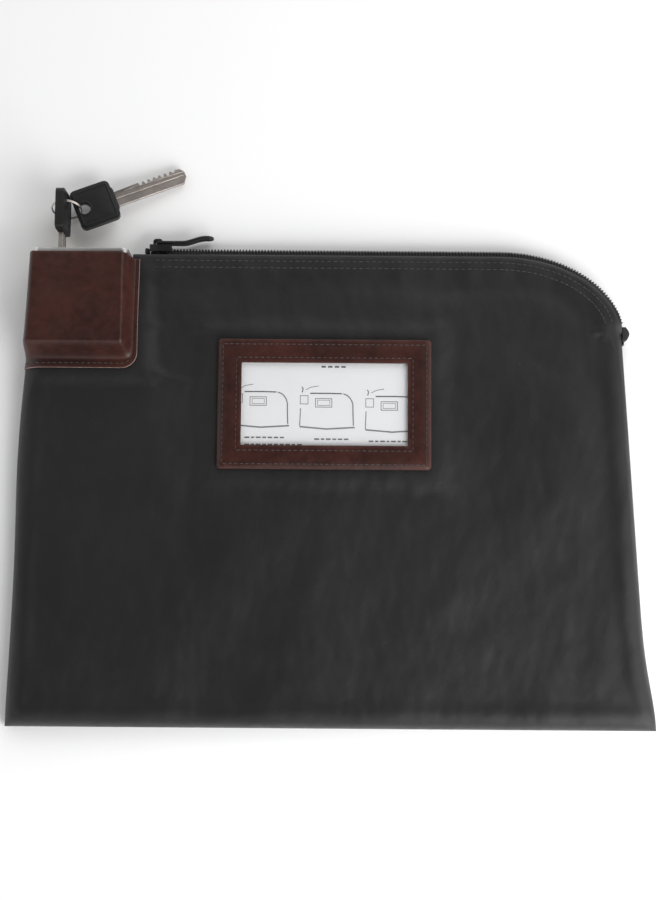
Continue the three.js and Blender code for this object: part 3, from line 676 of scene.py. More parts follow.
def thicken(piece: bpy.types.Object, thickness: float, rim: Finishes | None = None) -> None:
    """Gives a sheet its thickness, in millimetres, behind its face, with another finish on the cut rim."""
    wall = piece.modifiers.new("Thickness", "SOLIDIFY")
    wall.thickness = thickness * MM
    wall.offset = -1.0
    wall.use_even_offset = False
    if rim is not None:
        piece.data.materials.append(material_of(rim))
        wall.material_offset_rim = 1


def store(piece: bpy.types.Object, name: str, rule: Height) -> None:
    """Stores a number on each of the piece's points, worked out from its place in millimetres."""
    values = [rule(v.co.x / MM, v.co.y / MM) for v in piece.data.vertices]
    made = piece.data.attributes.new(name, "FLOAT", "POINT")
    made.data.foreach_set("value", values)


def dress(node: str, finish: Finishes) -> None:
    """Gives a CAD node that stays in view its finish."""
    mesh = FRAME["nodes"][node].data
    mesh.materials.clear()
    mesh.materials.append(material_of(finish))


# ---- the pouch's plan -------------------------------------------------------------------------------------
@dataclass
class Plan:
    """The pouch's outline and thickness, which every soft piece follows."""

    left_lean: float = 7.0  # how far the left seam leans in over the height
    right_lean: float = 11.0
    corner_poke: float = 3.6  # how far the bottom right corner is pushed out
    poke_reach: float = 26.0  # and how far up the side that fades
    left_bow: float = 1.9  # how far the left seam bows out above its middle
    corner_width: float = 57.0  # the zip's rounded corner is a quarter ellipse
    corner_drop: float = 39.0
    lip: float = 2.6  # fabric edge below the zip's line
    tooth_rise: float = 0.9
    seam_height: float = 1.3  # where front and back meet, above the surface
    zip_height: float = 8.0
    crown: float = 11.0
    seam_roll: float = 10.0
    crown_fall: float = 38.0
    zip_end: float = 7.0  # angle at which the zip ends, degrees
    half: float = field(init=False)
    bottom: float = field(init=False)
    top: float = field(init=False)

    def __post_init__(self) -> None:
        """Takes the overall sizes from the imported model."""
        low, high = node_box("back_panel")
        self.half = (high.x - low.x) / 2
        self.bottom = low.y
        self.top = high.y + self.lip
        self.corner_y = self.top - self.corner_drop
        self.corner_x = self.right(self.corner_y) - self.corner_width
        self.run = self.zip_run()

    def bow(self, y: float) -> float:
        """How far the left seam bows out at y."""
        share = (y - self.bottom) / (self.top - self.bottom)
        return self.left_bow * math.exp(-(((share - 0.58) / 0.2) ** 2))

    def poke(self, y: float) -> float:
        """How far the right seam is pushed out at y."""
        return self.corner_poke * math.exp(-(((y - self.bottom) / self.poke_reach) ** 2))

    def left(self, y: float) -> float:
        """X of the left seam at y."""
        return -self.half + self.left_lean * (y - self.bottom) / (self.top - self.bottom) - self.bow(y)

    def right(self, y: float) -> float:
        """X of the right seam at y."""
        return self.half - self.right_lean * (y - self.bottom) / (self.top - self.bottom) + self.poke(y)

    def zip_run(self, steps: int = 240) -> list[tuple[float, Vector]]:
        """The zip's line as points with their distance along it, from the left seam to the corner's end."""
        points = [Vector((lerp(self.left(self.top), self.corner_x, k / 60), self.top)) for k in range(60)]
        for k in range(steps + 1):
            angle = math.radians(lerp(90, 0, k / steps))
            points.append(Vector((
                self.corner_x + self.corner_width * math.cos(angle),
                self.corner_y + self.corner_drop * math.sin(angle),
            )))
        run, total = [(0.0, points[0])], 0.0
        for before, after in zip(points, points[1:]):
            total += (after - before).length
            run.append((total, after))
        return run

    def zip_at(self, distance: float) -> tuple[Vector, Vector]:
        """Point of the zip's line and its outward normal at a distance from the left seam."""
        low, high = 0, len(self.run) - 1
        while high - low > 1:
            middle = (low + high) // 2
            low, high = (middle, high) if self.run[middle][0] <= distance else (low, middle)
        (d0, a), (d1, b) = self.run[low], self.run[high]
        way = (b - a).normalized()
        return a.lerp(b, clamp((distance - d0) / (d1 - d0))), Vector((-way.y, way.x))

    def distance_of(self, x: float) -> float:
        """Distance along the zip's line of a place on its straight part."""
        return x - self.run[0][1].x

    def end_distance(self) -> float:
        """Distance along the zip's line at which the zip ends."""
        y = self.corner_y + self.corner_drop * math.sin(math.radians(self.zip_end))
        return next(d for d, p in self.run if d > self.distance_of(self.corner_x) and p.y <= y)

    def below_zip(self, x: float, y: float) -> float:
        """How far a place is inside the zip's line."""
        if x < self.corner_x or y < self.corner_y:
            return self.top - y if x < self.corner_x else 60.0
        u, v = (x - self.corner_x) / self.corner_width, (y - self.corner_y) / self.corner_drop
        far = math.hypot(u, v)
        slope = math.hypot(u / self.corner_width, v / self.corner_drop) / max(far, 1e-6)
        return (1 - far) / max(slope, 1e-6)

    def inside(self, x: float, y: float) -> float:
        """Distance to the nearest sewn side or to the bottom seam."""
        return min(x - self.left(y), self.right(y) - x, y - self.bottom)

    def front(self, x: float, y: float) -> float:
        """Height of the front's outer face."""
        crown = lerp(self.crown, self.zip_height, smoothstep(y, self.top - self.crown_fall, self.top))
        below = max(0.0, self.corner_y - y)
        right = self.right(min(y, self.corner_y)) - x
        past = math.hypot(right, max(0.0, y - self.corner_y)) if below == 0 else right
        full = roll(x - self.left(y), self.seam_roll) * roll(past, self.seam_roll)
        full *= roll(y - self.bottom, self.seam_roll)
        return lerp(self.seam_height, crown, full)

    def spot(self, u: float, v: float, share: float = 0.65) -> Point2:
        """Place on the panel for shares along and up it, with the grid bunched towards its edges."""
        u, v = crowded(u, 0.55), crowded(v)
        low = lerp(-self.half, self.half, u)
        if u < share:
            high = (lerp(self.left(self.top), self.corner_x, u / share), self.top - self.lip)
        else:
            angle = math.radians(lerp(90, 0, (u - share) / (1 - share)))
            high = (
                self.corner_x + (self.corner_width - self.lip * 0.4) * math.cos(angle),
                self.corner_y + (self.corner_drop - self.lip) * math.sin(angle),
            )
        x, y = lerp(low, high[0], v), lerp(self.bottom, high[1], v)
        return x + self.poke(y) * u ** 4 - self.bow(y) * (1 - u) ** 4, y

    def flat_area(self) -> float:
        """Area of one flat panel in square metres."""
        whole = (2 * self.half - (self.left_lean + self.right_lean) / 2) * (self.top - self.bottom)
        corner = self.corner_width * self.corner_drop * (1 - math.pi / 4)
        return (whole - corner) * MM * MM


@dataclass(frozen=True)
class Fold:
    """A soft fold or dimple in the front."""

    x: float
    y: float
    length: float
    width: float
    heading: float  # degrees
    rise: float  # negative for a dimple

    def height(self, x: float, y: float) -> float:
        """What the fold adds at a place."""
        turn = math.radians(self.heading)
        along = (x - self.x) * math.cos(turn) + (y - self.y) * math.sin(turn)
        across = -(x - self.x) * math.sin(turn) + (y - self.y) * math.cos(turn)
        return self.rise * math.exp(-((along / self.length) ** 2) - (across / self.width) ** 2)


FOLDS = (
    Fold(104, 74, 22, 7, -38, 0.9),
    Fold(118, 50, 20, 5, -62, -0.9),
    Fold(112, 30, 26, 6, -70, 0.7),
    Fold(96, 58, 24, 6, -30, -0.6),
    Fold(86, -30, 60, 16, 52, 0.9),
    Fold(58, -62, 60, 14, 40, -0.8),
    Fold(118, -52, 40, 9, 78, -0.6),
    Fold(-60, -40, 70, 22, 24, 0.6),
    Fold(-104, -8, 46, 12, -58, -0.6),
    Fold(-20, -78, 60, 12, 8, 0.5),
    Fold(-96, 40, 26, 7, 40, -0.6),
    Fold(72, 92, 22, 5, 6, -0.4),
    Fold(20, 88, 40, 6, -4, 0.35),
)


# ---- soft parts -------------------------------------------------------------------------------------------
@dataclass
class Pouch:
    """The two fabric panels, the front one sagged by a cloth simulation."""

    plan: Plan
    columns: int = 190
    rows: int = 140
    cloth: float = 0.9  # fabric with its lining
    cover_margin: float = 3.4  # leatherette over the fabric's edge
    slack: float = 0.013  # how much longer the cloth is than its outline
    frames: int = 18
    most: float = 1.5  # how far the simulation may move a point
    front: bpy.types.Object = field(init=False)

    def build(self) -> None:
        """Makes the front and back panels."""
        self.front = self.front_panel()
        self.back_panel()

    def front_height(self, x: float, y: float) -> float:
        """The front's face with its folds, before the simulation."""
        free = self.freedom(x, y)
        waves = 0.5 * noise.noise(Vector((x / 34, y / 30, 0.3))) + 0.25 * noise.noise(Vector((x / 13, y / 15, 4.1)))
        folds = sum(f.height(x, y) for f in FOLDS) + waves
        hem = 0.7 * (1 - roll(self.plan.below_zip(x, y) - self.plan.lip, 1.3))
        gather = self.gathers(x, y)
        return self.plan.front(x, y) + folds * free - hem + gather

    def gathers(self, x: float, y: float) -> float:
        """Small puckers along the zip's stitching."""
        below = self.plan.below_zip(x, y)
        fade = smoothstep(below, self.plan.lip, 6) * (1 - smoothstep(below, 9, 20))
        return 0.16 * fade * math.sin(x / 2.4 + 2 * noise.noise(Vector((x / 9, y / 9, 0))))

    def freedom(self, x: float, y: float) -> float:
        """How freely the cloth may move: 0 where it is sewn or held, 1 in the open."""
        label_low, label_high = node_box_cached("label_frame")
        cover_low, cover_high = node_box_cached("lock_cover_front")
        free = smoothstep(self.plan.inside(x, y), 1.5, 14) * smoothstep(self.plan.below_zip(x, y), 6, 20)
        beside = max(label_low.x - x, x - label_high.x, label_low.y - y, y - label_high.y)
        free *= smoothstep(beside, 1.0, 12)
        past = max(x - cover_high.x, cover_low.y - y)
        return free * smoothstep(past, 0.5, 10)

    def front_panel(self) -> bpy.types.Object:
        """The front panel, cut out round the lock and sagged."""
        form = Form()
        form.sheet(self.columns, self.rows, self.front_place)
        cover_low, cover_high = node_box("lock_cover_front")
        form.cut_away(cover_high.x - self.cover_margin, cover_low.y + self.cover_margin)
        made = form.piece("pouch_front_cloth", "bag", Finishes.NYLON, "nylon", ["front_panel"], 60)
        self.sag(made)
        store(made, "edge", lambda x, y: min(self.plan.inside(x, y), self.plan.below_zip(x, y) - self.plan.lip))
        thicken(made, self.cloth)
        self.plan.flat_area()
        return made

    def front_place(self, u: float, v: float) -> Sequence[float]:
        """Where a point of the front panel goes."""
        x, y = self.plan.spot(u, v)
        return x, y, self.front_height(x, y)

    def sag(self, piece: bpy.types.Object) -> None:
        """Lets the cloth buckle between its seams, then keeps the result as plain mesh."""
        rest = [v.co.copy() for v in piece.data.vertices]
        free = [self.freedom(p.x / MM, p.y / MM) for p in rest]
        held = piece.vertex_groups.new(name="held")
        for k, share in enumerate(free):
            held.add([k], 1.0 if share < 0.05 else 0.0, "REPLACE")
        cloth = piece.modifiers.new("Sag", "CLOTH")
        cloth.settings.quality = 4
        cloth.settings.mass = 0.12
        cloth.settings.tension_stiffness = 14
        cloth.settings.compression_stiffness = 10
        cloth.settings.shear_stiffness = 6
        cloth.settings.bending_stiffness = 0.9
        cloth.settings.shrink_min = -self.slack
        cloth.settings.shrink_max = -self.slack
        cloth.settings.vertex_group_mass = "held"
        cloth.settings.effector_weights.gravity = 0.12
        cloth.collision_settings.use_collision = False
        cloth.point_cache.frame_start = 1
        cloth.point_cache.frame_end = self.frames
        for frame in range(1, self.frames + 1):
            bpy.context.scene.frame_set(frame)
        shown = piece.evaluated_get(bpy.context.evaluated_depsgraph_get())
        moved = [v.co.copy() for v in shown.data.vertices]
        piece.modifiers.remove(cloth)
        piece.vertex_groups.remove(held)
        bpy.context.scene.frame_set(1)
        farthest = self.most * MM
        for v, start, end, share in zip(piece.data.vertices, rest, moved, free):
            step = end - start
            shift = Vector(clamp(s, -farthest, farthest) for s in step)
            v.co = start + shift * share
        biggest = max((m - r).length for m, r in zip(moved, rest)) / MM
        log.info("sag: moved up to %.2f mm before the cap", biggest)

    def back_panel(self) -> None:
        """The back panel, flat on the surface and rounding up to its seams."""
        form = Form()
        form.sheet(self.columns // 2, self.rows // 2, self.back_place)
        bmesh.ops.reverse_faces(form.bm, faces=form.bm.faces)
        made = form.piece("pouch_back_cloth", "bag", Finishes.NYLON_BACK, "nylon", ["back_panel"], 60)
        store(made, "edge", lambda x, y: min(self.plan.inside(x, y), self.plan.below_zip(x, y) - self.plan.lip))
        thicken(made, self.cloth)
        self.plan.flat_area()

    def back_place(self, u: float, v: float) -> Sequence[float]:
        """Where a point of the back panel goes."""
        x, y = self.plan.spot(u, v)
        cover_low, cover_high = node_box_cached("lock_cover_back")
        over_cover = max(x - cover_high.x, cover_low.y - y)
        lift = 0.55 * (1 - smoothstep(over_cover, 1.0, 6.0))
        edge = (self.plan.seam_height - 0.25) * (1 - roll(self.plan.inside(x, y), 4.5))
        ripple = 0.18 * max(0.0, noise.noise(Vector((x / 26, y / 22, 7.0)))) * smoothstep(self.plan.inside(x, y), 3, 15)
        hem = 0.5 * (1 - roll(self.plan.below_zip(x, y) - self.plan.lip, 1.3))
        return x, y, max(lift, ripple) + edge + hem


@cache
def node_box_cached(node: str) -> tuple[Vector, Vector]:
    """A CAD node's corners in millimetres, looked up once."""
    return node_box(node)


class Ground:
    """Finds the height of finished pieces under a place, so that stitches lie on them."""

    def __init__(self, piece: bpy.types.Object) -> None:
        """Reads the piece's outer face, without its thickness."""
        mesh = piece.data
        self.tree = BVHTree.FromPolygons(
            [v.co / MM for v in mesh.vertices], [tuple(p.vertices) for p in mesh.polygons]
        )

    def height(self, x: float, y: float, otherwise: float) -> float:
        """Height of the piece at a place, or otherwise where there is none."""
        hit = self.tree.ray_cast(Vector((x, y, 60)), Vector((0, 0, -1)))[0]
        return hit.z if hit is not None else otherwise


def stitch_row(
    form: Form,
    path: Callable[[float], Point2],
    length: float,
    height: Height,
    pitch: float = 2.9,
    width: float = 0.5,
    cover: float = 0.72,
) -> None:
    """Sews a row of stitches.

    Args:
        form: the shape that the stitches are added to.
        path: place on the row at a distance from its start.
        length: length of the row.
        height: height of the surface under a place.
        pitch: from one stitch to the next.
        width: width of the thread.
        cover: how much of the pitch the thread lies on top.
    """
    count = max(1, int(length / pitch))
    for k in range(count):
        middle = (k + 0.5) * length / count
        (x0, y0), (x1, y1) = path(middle - 0.2), path(middle + 0.2)
        x, y = path(middle)
        form.bead((x, y, height(x, y) + 0.08), (pitch * cover, width, width * 0.8), math.atan2(y1 - y0, x1 - x0))


def straight(start: Point2, end: Point2) -> tuple[Callable[[float], Point2], float]:
    """A straight row: its path and its length."""
    a, b = Vector(start), Vector(end)
    length = (b - a).length
    return lambda d: tuple(a.lerp(b, d / length)), length


@dataclass
class Zip:
    """Coil zip round the top edge: tapes, coils, stitching, stops and slider."""

    plan: Plan
    ground: Ground
    pitch: float = 1.45  # of the coil
    tape: float = 0.5
    rows: tuple[float, float] = (5.6, 8.8)  # stitch rows below the zip's line

    def build(self) -> None:
        """Makes every piece of the zip."""
        stop_low, _ = node_box("zip_start_stop")
        self.start = self.plan.distance_of(stop_low.x) + 2.5
        self.end = self.plan.end_distance()
        self.tapes()
        self.coils()
        self.stitching()
        self.stops()
        self.slider()
        self.pull()

    def along(self, share: float, inward: float) -> Point2:
        """Place a share of the way along the zip and so far inside its line."""
        point, out = self.plan.zip_at(lerp(self.start, self.end, share))
        return point.x - out.x * inward, point.y - out.y * inward

    def tapes(self) -> None:
        """One woven tape behind each panel's edge, rising to hold the coil."""
        middle = self.plan.zip_height / 2
        length = self.end - self.start
        for side, sign in (("front", 1), ("back", -1)):

            def place(u: float, v: float, sign: int = sign) -> Sequence[float]:
                """Where a point of this tape goes."""
                inward = lerp(10.5, 0.9, v)
                x, y = self.along(u, inward)
                far = self.plan.front(x, y) - 1.6 if sign > 0 else 1.7
                near = middle + sign * 1.1
                return x, y, lerp(near, far, smoothstep(inward, 1.4, 5.5))

            form = Form()
            form.sheet(150, 8, place)
            if sign < 0:
                bmesh.ops.reverse_faces(form.bm, faces=form.bm.faces)
            made = form.piece(f"zip_tape_{side}_woven", "bag", Finishes.TAPE, "tape", [f"zip_tape_{side}"], 60)
            thicken(made, self.tape)
            length * MM

    def coils(self) -> None:
        """Two meshed rows of coil loops, each loop leaning a little."""
        low, high = node_box("zip_teeth_back")
        middle = self.plan.zip_height / 2
        count = int((self.end - self.start) / self.pitch)
        for side, sign, phase in (("front", 1, 0.5), ("back", -1, 0.0)):
            form = Form()
            for k in range(count):
                share = (k + phase + 0.25) / (count + 1)
                x, y = self.along(share, 0.55)
                _, out = self.plan.zip_at(lerp(self.start, self.end, share))
                heading = math.atan2(out.y, out.x) + 0.16 * sign
                form.bead((x, y, middle + sign * 0.85), (2.5, 1.0, 1.5), heading, 8)
            form.piece(f"zip_coil_{side}", "bag", Finishes.COIL, "coil", [f"zip_teeth_{side}"], 60)
        log.info("coil loops: %d a side, %.1f mm deep", count, high.y - low.y)

    def stitching(self) -> None:
        """Two rows of stitches through each panel and its tape."""
        form = Form()
        span = self.end - self.start - 4
        for inward in self.rows:

            def row(d: float, inward: float = inward) -> Point2:
                """Place on this row."""
                return self.along((d + 2) / (self.end - self.start), inward)

            stitch_row(form, row, span, lambda x, y: self.ground.height(x, y, self.plan.front(x, y)))
        form.piece("zip_stitching_front", "bag", Finishes.THREAD_SEAM, "nylon")

    def stops(self) -> None:
        """The metal stop where the zip starts and the fabric tab where it ends."""
        low, high = node_box("zip_start_stop")
        form = Form()
        form.plate([rounded(low.x, high.x, low.y, high.y, 0.6)], low.z, high.z, 0.4)
        form.piece("zip_top_stop", "bag", Finishes.BLACK_METAL, "black_metal", ["zip_start_stop"])
        low, high = node_box("zip_end_tab")
        form = Form()
        steps = 16
        inner, outer = [], []
        for k in range(steps + 1):
            angle = math.radians(lerp(self.plan.zip_end * 0.9, -2.9, k / steps))
            x = self.plan.corner_x + self.plan.corner_width * math.cos(angle)
            y = self.plan.corner_y + self.plan.corner_drop * math.sin(angle)
            inner.append((x - 0.8, y))
            outer.append((x + 1.2 + 1.3 * math.sin(math.pi * k / steps), y))
        form.plate([outer + inner[::-1]], low.z, high.z, 0.7, 3)
        form.piece("zip_end_fold", "bag", Finishes.TAPE, "tape", ["zip_end_tab"])

    def slider(self) -> None:
        """A channel over the coil with a bridge for the pull."""
        low, high = node_box("zip_slider")
        middle = (low.z + high.z) / 2
        half = (high.z - low.z) / 2
        top = self.plan.top + 2.1
        inside = half - 1.4
        profile = [
            (self.plan.top - 1, middle - half), (top, middle - half), (top, middle + half),
            (self.plan.top - 1, middle + half), (self.plan.top - 1, middle + inside),
            (self.plan.top + 1.2, middle + inside), (self.plan.top + 1.2, middle - inside),
            (self.plan.top - 1, middle - inside),
        ]
        stand = Matrix(((0, 0, 1, 0), (1, 0, 0, 0), (0, 1, 0, 0), (0, 0, 0, 1)))
        form = Form()
        form.plate([profile], low.x, high.x, 0.35, 2, stand)
        hinge = self.hinge()
        eye = rounded(hinge.x - 2.2, hinge.x + 2.2, top - 0.4, hinge.y + 2, 1.4)
        form.plate([eye, circle((hinge.x, hinge.y), 1.0, 20)], middle - 1, middle + 1, 0.25)
        form.piece("zip_slider_body", "slider", Finishes.BLACK_METAL, "black_metal", ["zip_slider"])

    @staticmethod
    def hinge() -> Vector:
        """The pull's hinge, in millimetres."""
        joint = next(j for j in FRAME["joints"] if j["name"] == "pull_flip")
        return Vector(joint["pos_m"]) / MM

    def pull(self) -> None:
        """An arched tongue with a fork at its hinge and an open loop at its end."""
        low, high = node_box("zip_pull")
        hinge = self.hinge()
        half = (high.z - low.z) / 2
        long = 27.0
        thick = 1.3
        outline = [
            (-0.7, -half + 0.6), (0.2, -half), *arc((long - 4.2, 0), 3.0, -78, 78, 12),
            (0.2, half), (-0.7, half - 0.6), (-0.7, 1.3), (3.0, 1.3), (3.0, -1.3), (-0.7, -1.3),
        ]
        loop = rounded(long - 9, long - 2.9, -1.45, 1.45, 1.1)
        form = Form()
        form.plate([outline, loop], 0.0, thick, 0.35, 2)
        form.slice(0, 1.0, long, 1.3)

        def arched(p: Vector) -> Vector:
            """Stands the flat tongue on its edge and lifts its end."""
            lift = 2.4 * smoothstep(p.x / long, 0.42, 0.82)
            return Vector((hinge.x + p.x, hinge.y - 0.65 + p.z + lift, hinge.z + p.y))

        form.bend(arched)
        bmesh.ops.recalc_face_normals(form.bm, faces=form.bm.faces)
        form.rod(0.7, (hinge.x, hinge.y, hinge.z - half + 0.3), (hinge.x, hinge.y, hinge.z + half - 0.3))
        form.piece("zip_pull_tongue", "pull", Finishes.BLACK_PLASTIC, "black_plastic", ["zip_pull"])


# ---- lock -------------------------------------------------------------------------------------------------
@dataclass
class LockCover:
    """Leatherette sewn round the bag's corner over the lock."""

    plan: Plan
    thickness: float = 1.2
    side: float = 6.8  # beyond the case at the right
    foot: float = 12.0  # and below it
    flange: float = 3.4
    radius: float = 7.0
    edge_roll: float = 4.2

    def build(self) -> None:
        """Makes the front, the back and the stitches."""
        case_low, case_high = node_box("lock_case")
        self.x1 = case_high.x + self.side
        self.y0 = case_low.y - self.foot
        self.y1 = case_high.y
        self.case_y0 = case_low.y
        self.case_top = case_high.z + 0.45
        front = self.front()
        self.back()
        self.stitches(Ground(front))

    def spread(self, u: float, v: float) -> Point2:
        """Place on the cover, its free corner rounded."""
        y = lerp(self.y0, self.y1, crowded(v, 0.5))
        x = lerp(self.plan.left(y), self.x1, crowded(u, 0.6))
        across, down = x - (self.x1 - self.radius), (self.y0 + self.radius) - y
        if across > 0 and down > 0:
            a, b = across / self.radius, down / self.radius
            x = self.x1 - self.radius + self.radius * a * math.sqrt(1 - b * b / 2)
            y = self.y0 + self.radius - self.radius * b * math.sqrt(1 - a * a / 2)
        return x, y

    def face(self, x: float, y: float) -> float:
        """Height of the leatherette's outer face."""
        left = roll(x - self.plan.left(y), self.edge_roll)
        right = smoothstep(self.x1 - x, 1.8, self.side - 0.6)
        foot = smoothstep(y - self.y0, self.flange, self.foot - 1)
        flat = self.plan.front(x, y) + 0.3 + self.thickness
        sag = 0.35 * noise.noise(Vector((x / 15, y / 13, 2.0))) * right * foot
        raised = lerp(flat, self.case_top + self.thickness + sag, right * foot)
        hem = lerp(flat, self.plan.seam_height, smoothstep(y, self.case_y0 - 14, self.case_y0 - 2))
        return lerp(min(hem, flat), raised, left)

    def front(self) -> bpy.types.Object:
        """The front of the cover, over the case and down the bag's left side."""
        form = Form()

        def place(u: float, v: float) -> Sequence[float]:
            """Where a point of the cover goes."""
            x, y = self.spread(u, v)
            return x, y, self.face(x, y)

        form.sheet(84, 84, place)
        made = form.piece(
            "lock_cover_leather", "bag", Finishes.LEATHER, "leatherette", ["lock_cover_front"], 60
        )
        store(made, "edge", self.from_rim)
        thicken(made, self.thickness, Finishes.LEATHER_EDGE)
        width, length = self.x1 - self.plan.left(self.y0), self.y1 - self.y0
        (width + 20) * MM
        (length + 8) * MM
        return made

    def from_rim(self, x: float, y: float) -> float:
        """Distance to the cover's cut edge."""
        inner = (self.x1 - self.radius, self.y0 + self.radius)
        if x > inner[0] and y < inner[1]:
            return self.radius - math.hypot(x - inner[0], y - inner[1])
        return min(self.x1 - x, y - self.y0, self.y1 - y)

    def outline(self, inset: float) -> list[Point2]:
        """The cover's outline, moved in by an inset."""
        r = self.radius - inset
        corner = arc((self.x1 - self.radius, self.y0 + self.radius), r, -90, 0, 8)
        y0, y1 = self.y0 + inset, self.y1
        return [(self.plan.left(y0), y0), *corner, (self.x1 - inset, y1), (self.plan.left(y1), y1)]

    def back(self) -> None:
        """The back of the cover, flat under the bag."""
        form = Form()
        form.plate([self.outline(0.0)], 0.0, 0.5, 0.15)
        form.piece("lock_cover_leather_back", "bag", Finishes.LEATHER, "leatherette", ["lock_cover_back"])

    def stitches(self, ground: Ground) -> None:
        """One row inside the right and bottom edges."""
        inset = 2.1
        corner = (self.x1 - self.radius, self.y0 + self.radius)
        bend = math.pi / 2 * (self.radius - inset)
        foot = corner[0] - self.plan.left(self.y0) - 1.5
        side = self.y1 - corner[1] - 1.0

        def row(d: float) -> Point2:
            """Place on the row, along the foot, round the corner and up the side."""
            if d < foot:
                return corner[0] - foot + d, self.y0 + inset
            if d < foot + bend:
                angle = -math.pi / 2 + (d - foot) / (self.radius - inset)
                reach = self.radius - inset
                return corner[0] + reach * math.cos(angle), corner[1] + reach * math.sin(angle)
            return self.x1 - inset, corner[1] + d - foot - bend

        form = Form()
        stitch_row(form, row, foot + bend + side, lambda x, y: ground.height(x, y, self.face(x, y)), 2.5)
        form.piece("lock_cover_stitches", "bag", Finishes.THREAD_DARK, "leatherette")


@dataclass
class Lock:
    """Pop-up cylinder lock: the cap is shaped anew, and the works keep their CAD shapes."""

    pins: int = 7

    def build(self) -> None:
        """Makes the cap and dresses the works."""
        self.cap()
        for node in ("lock_case", "cam_keeper", "catch_pin", "pop_spring", "plug_cam", "cam_screw"):
            dress(node, Finishes.STEEL)
        for node in ("cylinder_housing", "chamber_cover", "cylinder_plug"):
            dress(node, Finishes.BRASS)
        for k in range(1, self.pins + 1):
            dress(f"driver_pin_{k}", Finishes.BRASS)
            dress(f"key_pin_{k}", Finishes.BRASS)
            dress(f"driver_spring_{k}", Finishes.STEEL)

    def cap(self) -> None:
        """The polished plate with its guides, bored for the cylinder and slotted for the pull."""
        low, high = node_box("pop_up_cap")
        housing_low, housing_high = node_box("cylinder_housing")
        key_x = node_box("key_blade")[0].x + 1.0
        z = (low.z + high.z) / 2
        bore, bible = 7.3, 2.8
        reach = housing_high.x - key_x + 1.4
        half = math.degrees(math.asin(bible / bore))
        keyhole = [*arc((key_x, z), bore, half, 360 - half, 30), (key_x + reach, z - bible), (key_x + reach, z + bible)]
        slot = rounded(key_x + reach + 7.6, key_x + reach + 15.6, z - 3.2, z + 3.2, 1.0)
        plate = rounded(low.x, high.x, low.z, high.z, 3.0)
        flat = Matrix(((1, 0, 0, 0), (0, 0, 1, 0), (0, 1, 0, 0), (0, 0, 0, 1)))
        form = Form()
        form.plate([plate, keyhole, slot], high.y - 1.8, high.y, 0.35, 3, flat)
        right = key_x + reach + 1.6
        for x0, x1 in ((low.x + 2.5, low.x + 3.9), (right, right + 5)):
            form.plate([rounded(x0, x1, z - 8.3, z + 8.3, 0.4)], low.y, high.y - 1.6, 0.2, 2, flat)
        bmesh.ops.recalc_face_normals(form.bm, faces=form.bm.faces)
        form.piece("lock_cap_plate", "lock_head", Finishes.STEEL, "steel", ["pop_up_cap"])


